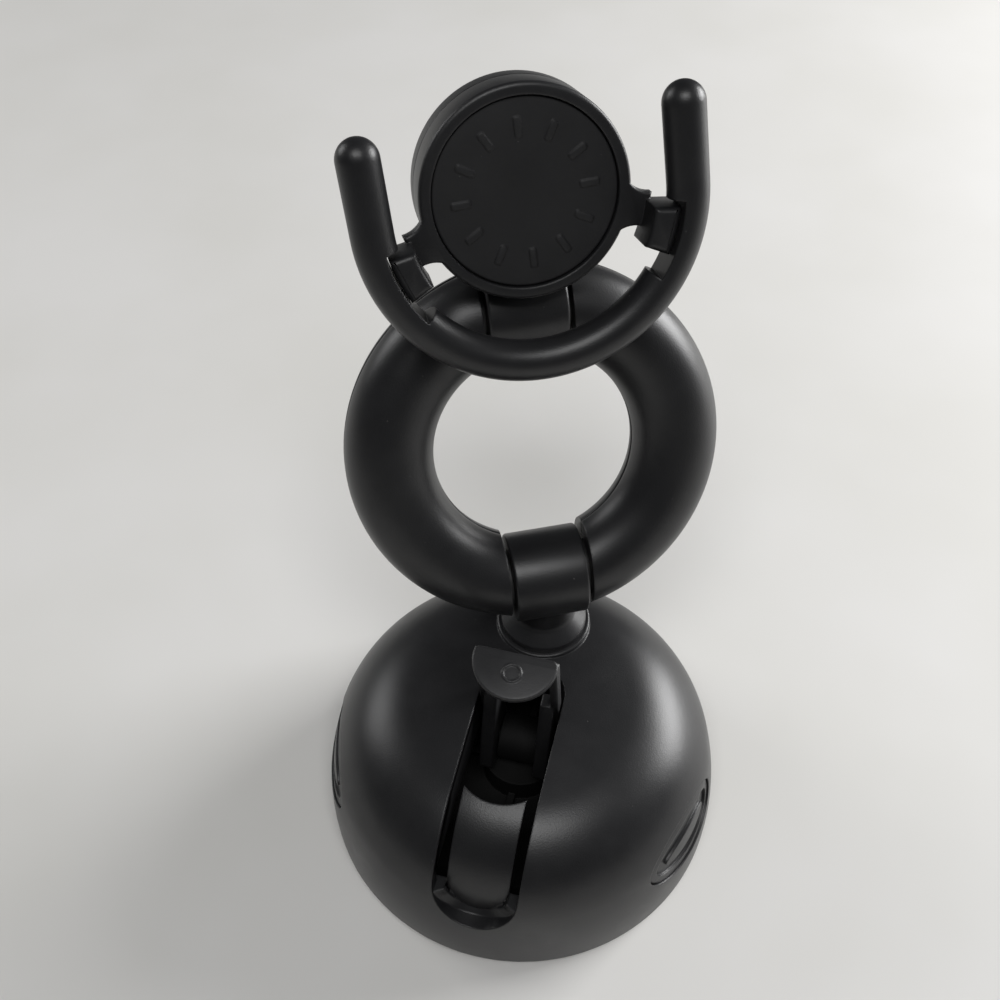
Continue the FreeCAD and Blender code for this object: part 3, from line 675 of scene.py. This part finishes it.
def dome_wall(name, outer=0.0, inner=DOME_WALL):
    outside = dome_profile(outer, DOME_Z0)
    inside = dome_profile(inner, DOME_Z0)
    return turned(name, outside + inside[::-1])


def slot_tool(grow):
    # Round at its lower end as seen from the front, and at its back as seen from above.
    half = SLOT_HALF + grow
    centre_z = SLOT_LOW_Z + SLOT_HALF
    outline = arc((0, centre_z), half, 180, 360, SLOT_STEPS) + [(half, FAR), (-half, FAR)]
    front = bar("slot_front", outline, SLOT_BACK_Y + grow + FAR)
    front = moved(front, Matrix.Translation((0, -FAR, 0)))
    back = SLOT_BACK_Y + grow
    corner = SLOT_BACK_ROUND + grow
    above = arc((half - corner, back - corner), corner, 0, 90, CORNER_STEPS)
    above += arc((corner - half, back - corner), corner, 90, 180, CORNER_STEPS)
    above += [(-half, -FAR), (half, -FAR)]
    # The outline seen from above stands up along Z.
    lid = bar("slot_above", [(x, -y) for x, y in above], FAR * 2)
    lid = moved(lid, to_front @ Matrix.Translation((0, -FAR, 0)))
    return within(front, lid)


def oval_tool(side, grow):
    outline = []
    for i in range(OVAL_STEPS):
        angle = 2 * math.pi * i / OVAL_STEPS
        outline.append(((PAD_LONG / 2 + grow) * math.cos(angle),
                        PAD_Z + (PAD_TALL / 2 + grow) * math.sin(angle)))
    tool = moved(bar("oval", outline, FAR), Matrix.Translation((0, -FAR - DOME_R / 2, 0)))
    return moved(tool, Matrix.Rotation(math.radians(side * PAD_ANGLE), 4, "Z"))


def tongue_tool(back_y):
    # Round-ended bar as wide as the tongue, from far in front to the given depth.
    centre_z = TONGUE_FOOT_Z + TONGUE_HALF
    outline = arc((0, centre_z), TONGUE_HALF, 180, 360, TONGUE_STEPS)
    outline += [(TONGUE_HALF, FAR), (-TONGUE_HALF, FAR)]
    return moved(bar("tongue_tool", outline, back_y + FAR), Matrix.Translation((0, -FAR, 0)))


def sloping_mouth():
    # Straight wall under the slot's outline, then a slope in to the tongue's outline.
    foot_z = TONGUE_FOOT_Z + TONGUE_HALF
    top_z = SLOT_LOW_Z + SLOT_HALF
    inner_half = TONGUE_HALF + MOUTH_RIM
    spread = (SLOT_HALF - inner_half) / MOUTH_DEEP
    rise = (top_z - foot_z) / MOUTH_DEEP
    shape = bmesh.new()
    rings = []
    for sloped, deep in ((0.0, 0.0), (MOUTH_DEEP, MOUTH_DEEP), (MOUTH_DEEP, FAR)):
        half = inner_half + spread * sloped
        outline = arc((0, foot_z + rise * sloped), half, 180, 360, SLOT_STEPS)
        outline += [(half, FAR), (-half, FAR)]
        rings.append([shape.verts.new((x, RECESS_Y - deep, z)) for x, z in outline])
    shape.faces.new(rings[0])
    shape.faces.new(rings[-1])
    count = len(rings[0])
    for one, two in zip(rings, rings[1:]):
        for i in range(count):
            n = (i + 1) % count
            shape.faces.new((one[i], one[n], two[n], two[i]))
    return finished("mouth", shape)


def build_dome():
    shell = without(dome_wall("dome"), slot_tool(0))
    # Tray round the lower end of the slot: its floor slopes in to the tongue's outline.
    tray = within(slot_tool(RECESS_RIM), dome_solid("tray_dome", 0))
    tray_room = block("tray_room", (-FAR, -FAR, 0), (FAR, RECESS_Y + RECESS_FLOOR, RECESS_TOP_Z))
    tray = within(tray, tray_room)
    tray = without(without(tray, sloping_mouth()), tongue_tool(FAR))
    for side in (-1, 1):
        x0, x1 = sorted((side * TONGUE_HALF, side * SLOT_HALF))
        tray = without(tray, block("channel", (x0, -FAR, CHANNEL_LOW_Z), (x1, 0, FAR)))
    shell = with_piece(shell, tray)
    # Walls hanging round the well.
    hanging = within(slot_tool(WELL_WALL), dome_solid("hanging_dome", DOME_WALL / 2))
    hanging = without(hanging, slot_tool(0))
    room = block("well_room", (-FAR, RECESS_Y + RECESS_FLOOR / 2, WELL_WALL_Z), (FAR, FAR, FAR))
    shell = with_piece(shell, within(hanging, room))
    # Tongue between the channels, set back from the dome.
    tongue = tongue_tool(TONGUE_EDGE_Y + TONGUE_EDGE_R)
    edge = turned("tongue_edge", [(0, -FAR), (TONGUE_EDGE_R, -FAR), (TONGUE_EDGE_R, FAR), (0, FAR)],
                  ROUND_SMALL)
    edge = moved(edge, Matrix.Translation((0, TONGUE_EDGE_Y + TONGUE_EDGE_R, 0)))
    tongue = without(tongue, edge)
    tongue_wall = moved(dome_wall("tongue_wall"), Matrix.Translation((0, TONGUE_SET_BACK, 0)))
    tongue = within(tongue, tongue_wall)
    shell = with_piece(shell, tongue)
    for side in (-1, 1):
        under = dome_wall("ledge", DOME_WALL - PAD_GAP, DOME_WALL + PAD_BORDER)
        shell = with_piece(shell, within(oval_tool(side, PAD_BORDER), under))
        window = without(oval_tool(side, 0), dome_solid("window_dome", DOME_WALL))
        shell = without(shell, window)
    boss_low_z = SWIVEL_SEAT_Z - SWIVEL_BOSS_T
    boss = turned("boss", rounded([(SWIVEL_BUSH_R, SWIVEL_SEAT_Z, 0),
                                   (SWIVEL_BOSS_R, SWIVEL_SEAT_Z, SWIVEL_BOSS_EDGE),
                                   (SWIVEL_BOSS_R, boss_low_z, 0), (SWIVEL_BUSH_R, boss_low_z, 0)]),
                  ROUND_SMALL, closed=True)
    hole_r = SWIVEL_BUSH_R + PAD_GAP
    hole = turned("hole", [(0, boss_low_z), (hole_r, boss_low_z), (hole_r, SWIVEL_SEAT_Z),
                           (0, SWIVEL_SEAT_Z)], ROUND_SMALL)
    seat = Matrix.Translation((swivel.x, swivel.y, 0))
    shell = without(shell, moved(hole, seat))
    shell = with_piece(shell, moved(boss, seat))
    shell.name = "dome"
    return settled(shell, "base", ["dome_shell"], DOME_BLACK)


def build_pad(side, name):
    plate = within(oval_tool(side, -PAD_GAP), dome_wall("pad", PAD_SINK, DOME_WALL))
    sunk = dome_wall("pad_middle", -PAD_GAP, PAD_SINK + PAD_RELIEF)
    plate = without(plate, within(oval_tool(side, -PAD_GAP - PAD_BORDER), sunk))
    # A plain smaller oval stands in the middle.
    raised = dome_wall("pad_island", PAD_SINK, DOME_WALL)
    plate = with_piece(plate, within(oval_tool(side, -PAD_TALL / 2 + PAD_BORDER), raised))
    plate.name = name
    return settled(plate, "base", [name.replace("_trim", "")], PAD_BLACK)


def build_foot():
    ring = turned("base_ring_trim", rounded([
        (BASE_RING_BORE, LIP_H, 0), (BASE_RING_R, LIP_H, RING_EDGE), (BASE_RING_R, DOME_Z0, RING_EDGE),
        (BASE_RING_BORE, DOME_Z0, 0)]), closed=True)
    settled(ring, "base", ["base_ring"], RUBBER_BLACK)
    lip = turned("cup_lip_trim", rounded([
        (LIP_BORE, 0, 0), (LIP_R, 0, LIP_EDGE), (LIP_R, LIP_H, LIP_EDGE),
        (LIP_BORE, LIP_H, 0)]), closed=True)
    settled(lip, "base", ["cup_lip"], RUBBER_BLACK)


# Flip lever.
def cam_outline():
    # The flat follower under the cam rises by the same amount for each degree of swing.
    swing = math.radians(LEVER_SWING)
    lean = math.radians(LEVER_LEAN)
    slope = STEM_LIFT / swing
    points = []
    for i in range(ARC_STEPS + 1):
        turn = swing * i / ARC_STEPS
        down = lean + turn
        far = CAM_R + slope * turn
        points.append((-far * math.sin(down) - slope * math.cos(down),
                       -far * math.cos(down) + slope * math.sin(down)))
    points += [(ARM_FRONT, ROOT_TOP), (ARM_BACK, ROOT_TOP)]
    return points + arc((0, 0), CAM_R, 0, -CAM_BACK, CAM_BACK_STEPS)


def build_lever():
    # Outlines are drawn in Y and Z, then set across X.
    root = bar("root", cam_outline(), ROOT_OUT - ROOT_IN, ROOT_EDGE)
    root = moved(root, Matrix.Translation((ROOT_OUT, 0, 0)) @ to_side)
    arm_top = LEVER_LEN - CAP_T / 2
    arm = bar("arm", rounded([(ARM_FRONT, ARM_LOW, ARM_CORNER), (ARM_BACK, ARM_LOW, ARM_CORNER),
                              (ARM_BACK, arm_top, 0), (ARM_FRONT, arm_top, 0)]),
              CAP_R - ARM_IN, ARM_EDGE)
    arm = moved(arm, Matrix.Translation((CAP_R, 0, 0)) @ to_side)
    sides = [root, arm, mirror_x(root, "root_left"), mirror_x(arm, "arm_left")]
    edge = math.degrees(math.asin((ARM_BACK - CAP_ROUND_Y) / CAP_R))
    tip = CAP_R * math.cos(math.radians(edge)) - CAP_CORNER
    cut = math.degrees(math.atan2(ARM_BACK - CAP_CORNER - CAP_ROUND_Y, tip))
    outline = arc((0, CAP_ROUND_Y), CAP_R, 180 - cut, 360 + cut, CAP_STEPS)
    outline += arc((tip, ARM_BACK - CAP_CORNER), CAP_CORNER, cut, 90, CAP_CORNER_STEPS)
    outline += arc((-tip, ARM_BACK - CAP_CORNER), CAP_CORNER, 90, 180 - cut, CAP_CORNER_STEPS)
    cap = bar("cap", [(x, -y) for x, y in outline], CAP_T, CAP_EDGE, FINE_BEVEL)
    cap = moved(cap, Matrix.Translation((0, 0, LEVER_LEN - CAP_T)) @ to_front)
    # A plain raised ring marks the middle of the thumb plate.
    badge = turned("badge", rounded([(BADGE_BORE, 0, 0), (BADGE_BORE, BADGE_T, BADGE_EDGE),
                                     (BADGE_R, BADGE_T, BADGE_EDGE), (BADGE_R, 0, 0)], 3),
                   ROUND_TINY, closed=True)
    badge = moved(badge, Matrix.Translation((0, 0, LEVER_LEN - BADGE_SINK)))
    whole = gathered("flip_lever", sides + [cap, badge])
    lean = Matrix.Translation(pivot) @ Matrix.Rotation(math.radians(LEVER_LEAN), 4, "X")
    return settled(moved(whole, lean), "lever", ["lever"], LEVER_BLACK)


# Neck and hinge barrels.
def barrel(name):
    profile = rounded([(0, -BARREL_HALF, 0), (BARREL_R, -BARREL_HALF, BARREL_EDGE),
                       (BARREL_R, BARREL_HALF, BARREL_EDGE), (0, BARREL_HALF, 0)])
    return moved(turned(name, profile, ROUND_MEDIUM), to_x)


def build_neck():
    seat = SWIVEL_SEAT_Z - low_hinge.z
    collar_top = seat + COLLAR_H
    post = turned("post", rounded([(0, seat, 0), (COLLAR_R, seat, COLLAR_LOW_EDGE),
                                   (COLLAR_R, collar_top, COLLAR_TOP_EDGE),
                                   (NECK_R, collar_top + COLLAR_R - NECK_R, NECK_FILLET),
                                   (NECK_R, 0, 0), (0, 0, 0)]), ROUND_MEDIUM)
    whole = with_piece(barrel("neck_post"), post)
    whole.name = "neck_post"
    return settled(moved(whole, on_neck), "neck", ["neck"], ARM_BLACK)


# Ring-shaped arm.
def ring_shell(side, back, name):
    # Half tube between the two hinge gaps, its ends cut flat.
    end_x = BARREL_HALF + HINGE_GAP
    edge = SEAM_WIDE / 2
    lip = SEAM_ROUND
    start = math.degrees(math.asin((edge + lip) / TUBE_R))
    section = arc((0, 0), TUBE_R, start, 180 - start, TUBE_STEPS)
    inner_x = math.sqrt((TUBE_R - lip) ** 2 - edge ** 2)
    bend = ((section[0][0] + inner_x) / 2 + SEAM_BULGE, edge + lip * SEAM_MIDDLE)
    section = ([(inner_x - SEAM_IN, edge), (inner_x, edge), bend] + section
               + [(-bend[0], bend[1]), (-inner_x, edge), (-inner_x + SEAM_IN, edge)])
    shape = bmesh.new()
    rows = []
    steps = RING_STEPS
    for out, y in section:
        radius = RING_R + out
        first = math.asin(end_x / radius)
        row = []
        for i in range(steps + 1):
            angle = first + (math.pi - 2 * first) * i / steps
            row.append(shape.verts.new((side * radius * math.sin(angle), y if back else -y,
                                        RING_R - radius * math.cos(angle))))
        rows.append(row)
    for one, two in zip(rows, rows[1:] + rows[:1]):
        for i in range(steps):
            shape.faces.new((one[i], one[i + 1], two[i + 1], two[i]))
    shape.faces.new([row[0] for row in rows])
    shape.faces.new([row[-1] for row in rows])
    return moved(finished(name, shape), on_ring)


def build_ring():
    for side, word in ((1, "right"), (-1, "left")):
        for back, face in ((False, "front"), (True, "back")):
            node = "ring_%s_%s" % (word, face)
            shell = ring_shell(side, back, node + "_shell")
            settled(shell, "ring", [node], ARM_BLACK)


# Head and cradle.
def scallop():
    # Room in the head for the ring.
    tool = turned("scallop", [(0, -FAR), (HEAD_CLEAR_R, -FAR), (HEAD_CLEAR_R, FAR), (0, FAR)])
    return moved(tool, to_x)


def sector(inner, outer, start, end, y0, y1, softness=0.0):
    # Part of a flat ring round the cradle's centre, below the horizontal.
    centre = (0, DISC_UP - U_DROP)
    outline = arc(centre, outer, -start, -end) + arc(centre, inner, -end, -start)
    return moved(bar("sector", outline, y1 - y0, softness, FINE_BEVEL), Matrix.Translation((0, y0, 0)))


def through(first, middle, last, steps=10):
    # Circle arc through three points.
    ax, ay, bx, by, cx, cy = *first, *middle, *last
    d = 2 * (ax * (by - cy) + bx * (cy - ay) + cx * (ay - by))
    a, b, c = ax * ax + ay * ay, bx * bx + by * by, cx * cx + cy * cy
    centre = Vector(((a * (by - cy) + b * (cy - ay) + c * (ay - by)) / d,
                     (a * (cx - bx) + b * (ax - cx) + c * (bx - ax)) / d))
    spoke = first - centre
    turn = spoke.angle_signed(last - centre) * -1
    return [tuple(centre + Matrix.Rotation(turn * i / steps, 2) @ spoke) for i in range(steps + 1)]


def ear():
    def polar(radius, angle):
        way = math.radians(angle)
        return Vector((radius * math.cos(way), DISC_UP + radius * math.sin(way)))

    low = through(*(polar(*corner) for corner in EAR_LOW_SIDE))
    high = through(*(polar(*corner) for corner in EAR_HIGH_SIDE))
    front_y = -DISC_FORWARD - RIM_PROUD
    plate = moved(bar("ear", low + high, EAR_T, EAR_EDGE), Matrix.Translation((0, front_y, 0)))
    leg = sector(EAR_LEG_R0, U_R - U_TUBE_R + POCKET_DEEP - EAR_GAP, EAR_FROM, EAR_TO,
                 -DISC_FORWARD - U_FORWARD - EAR_LEG_Y, front_y + EAR_T, EAR_SOFT)
    return with_piece(plate, leg)


def build_housing():
    front = DISC_FORWARD + RIM_PROUD
    seat = DISC_FORWARD - DISC_T
    # Heights run forwards, so the lathe's Z becomes -Y.
    profile = rounded([(HOUSING_R, -HEAD_SPLIT_Y, HOUSING_EDGE), (HOUSING_R, front, RIM_EDGE),
                       (DISC_R + DISC_GAP, front, HOUSING_EDGE), (DISC_R + DISC_GAP, seat, 0),
                       (HOUSING_BORE, seat, 0), (HOUSING_BORE, -HEAD_SPLIT_Y, 0)])
    body = turned("front_housing", profile, closed=True)
    body = moved(body, Matrix.Translation((0, 0, DISC_UP)) @ to_front)
    right = ear()
    left = mirror_x(right, "ear_left")
    body = with_piece(body, right)
    body = with_piece(body, left)
    body = without(body, scallop())
    body.name = "front_housing"
    return settled(moved(body, on_turned_head), "head", ["head_housing"], HEAD_BLACK)


def build_back():
    profile = rounded([(0, -HEAD_BACK_Y, 0), (HOUSING_R, -HEAD_BACK_Y, HEAD_BACK_EDGE),
                       (HOUSING_R, -HEAD_SPLIT_Y, HOUSING_EDGE), (0, -HEAD_SPLIT_Y, 0)], 10)
    cup = turned("back_shell", profile)
    cup = moved(cup, Matrix.Translation((0, 0, DISC_UP)) @ to_front)
    cup = moved(without(cup, scallop()), head_turn)
    outline = rounded([(WEB_FRONT_Y, 0, 0), (WEB_BACK_Y, 0, 0), (WEB_BACK_Y, WEB_TOP_Z / 2, WEB_BEND),
                       (HEAD_BACK_Y - WEB_SINK, WEB_TOP_Z, WEB_TOP_BEND), (WEB_FRONT_Y, WEB_TOP_Z, 0)])
    web = bar("web", outline, BARREL_HALF * 2)
    web = moved(web, Matrix.Translation((BARREL_HALF, 0, 0)) @ to_side)
    whole = with_piece(with_piece(barrel("back_shell"), web), cup)
    whole.name = "back_shell"
    return settled(moved(whole, on_head), "head", ["head_back"], HEAD_BLACK)


def mark_ring(name, count, radius, wide, long, thick, material):
    # Plain raised bars set evenly round a circle, each pointing at its middle.
    tree = bpy.data.node_groups.new("bars_round_a_circle", "GeometryNodeTree")
    tree.interface.new_socket("Geometry", in_out="INPUT", socket_type="NodeSocketGeometry")
    tree.interface.new_socket("Geometry", in_out="OUTPUT", socket_type="NodeSocketGeometry")
    sockets = {}
    for label, kind in (("Count", "NodeSocketInt"), ("Radius", "NodeSocketFloat"),
                        ("Bar", "NodeSocketObject"), ("Material", "NodeSocketMaterial")):
        sockets[label] = tree.interface.new_socket(label, in_out="INPUT", socket_type=kind).identifier
    inlet = tree.nodes.new("NodeGroupInput")
    outlet = tree.nodes.new("NodeGroupOutput")
    circle = tree.nodes.new("GeometryNodeMeshCircle")
    spread = tree.nodes.new("GeometryNodeInstanceOnPoints")
    bar_info = tree.nodes.new("GeometryNodeObjectInfo")
    spot = tree.nodes.new("GeometryNodeInputPosition")
    turn = tree.nodes.new("FunctionNodeAlignRotationToVector")
    turn.axis = "X"
    real = tree.nodes.new("GeometryNodeRealizeInstances")
    coat = tree.nodes.new("GeometryNodeSetMaterial")
    tree.links.new(inlet.outputs["Count"], circle.inputs["Vertices"])
    tree.links.new(inlet.outputs["Radius"], circle.inputs["Radius"])
    tree.links.new(inlet.outputs["Bar"], bar_info.inputs["Object"])
    tree.links.new(spot.outputs["Position"], turn.inputs["Vector"])
    tree.links.new(circle.outputs["Mesh"], spread.inputs["Points"])
    tree.links.new(bar_info.outputs["Geometry"], spread.inputs["Instance"])
    tree.links.new(turn.outputs["Rotation"], spread.inputs["Rotation"])
    tree.links.new(spread.outputs["Instances"], real.inputs["Geometry"])
    tree.links.new(real.outputs["Geometry"], coat.inputs["Geometry"])
    tree.links.new(inlet.outputs["Material"], coat.inputs["Material"])
    tree.links.new(coat.outputs["Geometry"], outlet.inputs["Geometry"])
    corner = wide * MARK_CORNER
    quarters = ((-1, -1), (1, -1), (1, 1), (-1, 1))
    outline = rounded([(x * long / 2, z * wide / 2, corner) for x, z in quarters], 4)
    one = bar("one_bar", outline, thick, thick * MARK_EDGE, 2)
    moved(one, to_front @ Matrix.Translation((0, -thick / 2, 0)))
    holder = link(name, bpy.data.meshes.new(name))
    step = holder.modifiers.new("bars", "NODES")
    step.node_group = tree
    step[sockets["Count"]] = count
    step[sockets["Radius"]] = radius
    step[sockets["Bar"]] = one
    step[sockets["Material"]] = material
    ready = holder.evaluated_get(bpy.context.evaluated_depsgraph_get())
    mesh = bpy.data.meshes.new_from_object(ready)
    holder.modifiers.remove(step)
    holder.data = mesh
    bpy.data.objects.remove(one)
    return holder


def build_disc():
    # The face dips very slightly towards its middle.
    low = DISC_FORWARD - DISC_DISH
    profile = [(DISC_DISH_R * out, low + DISC_DISH * up) for out, up in DISH_SHAPE]
    profile.append((DISC_R - DISC_FLAT_W, DISC_FORWARD))
    profile += rounded([(DISC_R, DISC_FORWARD, DISC_EDGE), (DISC_R, DISC_FORWARD - DISC_T, 0),
                        (0, DISC_FORWARD - DISC_T, 0), (DISC_R - DISC_FLAT_W, DISC_FORWARD, 0)])[:-1]
    disc = turned("disc_face", profile)
    marks = mark_ring("disc_marks", count=MARK_COUNT, radius=MARK_RING_R, wide=MARK_W, long=MARK_L,
                      thick=MARK_T, material=DISC_BLACK)
    moved(marks, Matrix.Translation((0, 0, DISC_FORWARD + MARK_T / 2 - MARK_SINK)))
    whole = gathered("disc_face", [disc, marks])
    place = on_turned_head @ Matrix.Translation((0, 0, DISC_UP)) @ to_front
    return settled(moved(whole, place), "head", ["disc_insert"], DISC_BLACK)


def build_cradle():
    # Round bar along the U with domed tips: place, direction and share of the full thickness.
    centre = Vector((0, -DISC_FORWARD - U_FORWARD, DISC_UP - U_DROP))
    arm = U_DROP + U_TOP
    stations = []
    down = Vector((0, 0, -1))
    for i in range(TIP_STEPS, 0, -1):
        angle = math.pi / 2 * i / TIP_STEPS
        stations.append((Vector((-U_R, 0, arm + U_TUBE_R * math.sin(angle))), down, math.cos(angle)))
    for i in range(LEG_STEPS + 1):
        stations.append((Vector((-U_R, 0, arm * (1 - i / LEG_STEPS))), down, 1.0))
    one_side = stations[::-1]
    for i in range(1, RING_STEPS):
        angle = math.pi + math.pi * i / RING_STEPS
        stations.append((Vector((U_R * math.cos(angle), 0, U_R * math.sin(angle))),
                         Vector((-math.sin(angle), 0, math.cos(angle))), 1.0))
    stations += [(Vector((-p.x, 0, p.z)), Vector((w.x, 0, -w.z)), swell) for p, w, swell in one_side]
    shape = bmesh.new()
    rings = []
    for point, way, swell in stations:
        out = way.cross(Vector((0, 1, 0)))
        if swell < TINY:
            rings.append([shape.verts.new(centre + point)])
            continue
        ring = []
        for k in range(TUBE_STEPS):
            angle = 2 * math.pi * k / TUBE_STEPS
            spoke = out * math.cos(angle) + Vector((0, 1, 0)) * math.sin(angle)
            ring.append(shape.verts.new(centre + point + spoke * U_TUBE_R * swell))
        rings.append(ring)
    for one, two in zip(rings, rings[1:]):
        for k in range(TUBE_STEPS):
            n = (k + 1) % TUBE_STEPS
            corner = [one[k % len(one)], one[n % len(one)], two[n % len(two)], two[k % len(two)]]
            face = list(dict.fromkeys(corner))
            if len(face) > 2:
                shape.faces.new(face)
    whole = finished("cradle_bow", shape)
    inner = U_R - U_TUBE_R - POCKET_DEEP
    outer = U_R - U_TUBE_R + POCKET_DEEP
    pocket = sector(inner, outer, POCKET_FROM, POCKET_TO,
                    centre.y - 2 * U_TUBE_R, centre.y + 2 * U_TUBE_R)
    twin = mirror_x(pocket, "pocket_left")
    whole = without(without(whole, pocket), twin)
    whole.name = "cradle_bow"
    return settled(moved(whole, on_turned_head), "head", ["cradle"], ARM_BLACK)


build_dome()
build_pad(1, "side_pad_right_trim")
build_pad(-1, "side_pad_left_trim")
build_foot()
build_lever()
build_neck()
build_ring()
build_housing()
build_back()
build_disc()
build_cradle()


# Floor, light and camera.
FLOOR_HALF = 1.5
FLOOR_DROP = 0.00005
FLOOR_CLOUDS = 14.0
FLOOR_SHADES = ((0.74, 0.73, 0.70, 1), (0.78, 0.77, 0.75, 1))
FLOOR_ROUGH = 0.6
# Lamps: place, size and watts.
LIT_SPOT = (0, 0, 0.05)
LAMPS = {
    "window_right": ((0.62, 0.52, 0.30), (0.50, 0.36), 9.0),
    "ceiling": ((0.10, -0.36, 0.95), (0.60, 0.32), 4.2),
    "soft_left": ((-0.75, 0.20, 0.40), (0.35, 0.35), 1.6),
}
ROOM_SHADE = (0.070, 0.072, 0.075, 1)
WHITE = (1, 1, 1, 1)
# Place, aim, roll and lens found by fitting the dome, ring and head to the photograph.
CAMERA_PLACE = Vector((0.0251, -0.10421, 0.2199))
CAMERA_AIM = Vector((-0.16422, 0.6117, -0.77386)).normalized()
CAMERA_ROLL = 0.65
CAMERA_LENS = 42.2
CAMERA_SENSOR = 36.0
CAMERA_SHIFT = -0.004


def build_stage():
    shape = bmesh.new()
    bmesh.ops.create_grid(shape, x_segments=1, y_segments=1, size=FLOOR_HALF)
    floor = moved(finished("floor", shape, outward=False), Matrix.Translation((0, 0, -FLOOR_DROP)))
    material = bpy.data.materials.new("pale_floor")
    material.use_nodes = True
    tree = material.node_tree
    shader = tree.nodes["Principled BSDF"]
    place = tree.nodes.new("ShaderNodeTexCoord").outputs["Object"]
    cloud = remapped(tree, noise(tree, place, FLOOR_CLOUDS, 3.0), 0.35, 0.65, 0.0, 1.0)
    tree.links.new(mixed(tree, cloud, *FLOOR_SHADES), shader.inputs["Base Color"])
    shader.inputs["Roughness"].default_value = FLOOR_ROUGH
    floor.data.materials.append(material)


def build_light():
    for name, (place, size, watts) in LAMPS.items():
        data = bpy.data.lights.new(name, "AREA")
        data.shape = "RECTANGLE"
        data.size, data.size_y = size
        data.energy = watts
        light = bpy.data.objects.new(name, data)
        light.location = place
        light.rotation_euler = (Vector(LIT_SPOT) - Vector(place)).to_track_quat("-Z", "Y").to_euler()
        bpy.context.scene.collection.objects.link(light)
    # The camera sees a white backdrop, while the room lights the object only weakly.
    world = bpy.data.worlds.new("studio")
    world.use_nodes = True
    tree = world.node_tree
    seen = tree.nodes.new("ShaderNodeLightPath").outputs["Is Camera Ray"]
    backdrop = tree.nodes["Background"]
    tree.links.new(mixed(tree, seen, ROOM_SHADE, WHITE), backdrop.inputs["Color"])
    backdrop.inputs["Strength"].default_value = 1.0
    bpy.context.scene.world = world
    bpy.context.scene.view_settings.view_transform = "Standard"


def build_camera():
    data = bpy.data.cameras.new("camera")
    data.sensor_width = CAMERA_SENSOR
    data.lens = CAMERA_LENS
    data.shift_x = CAMERA_SHIFT
    camera = bpy.data.objects.new("camera", data)
    bpy.context.scene.collection.objects.link(camera)
    level = CAMERA_AIM.cross(Vector((0, 0, 1))).normalized()
    right = Matrix.Rotation(math.radians(CAMERA_ROLL), 3, CAMERA_AIM) @ level
    camera.matrix_world = frame_of(right, right.cross(CAMERA_AIM), -CAMERA_AIM, CAMERA_PLACE)
    bpy.context.scene.camera = camera


build_stage()
build_light()
build_camera()
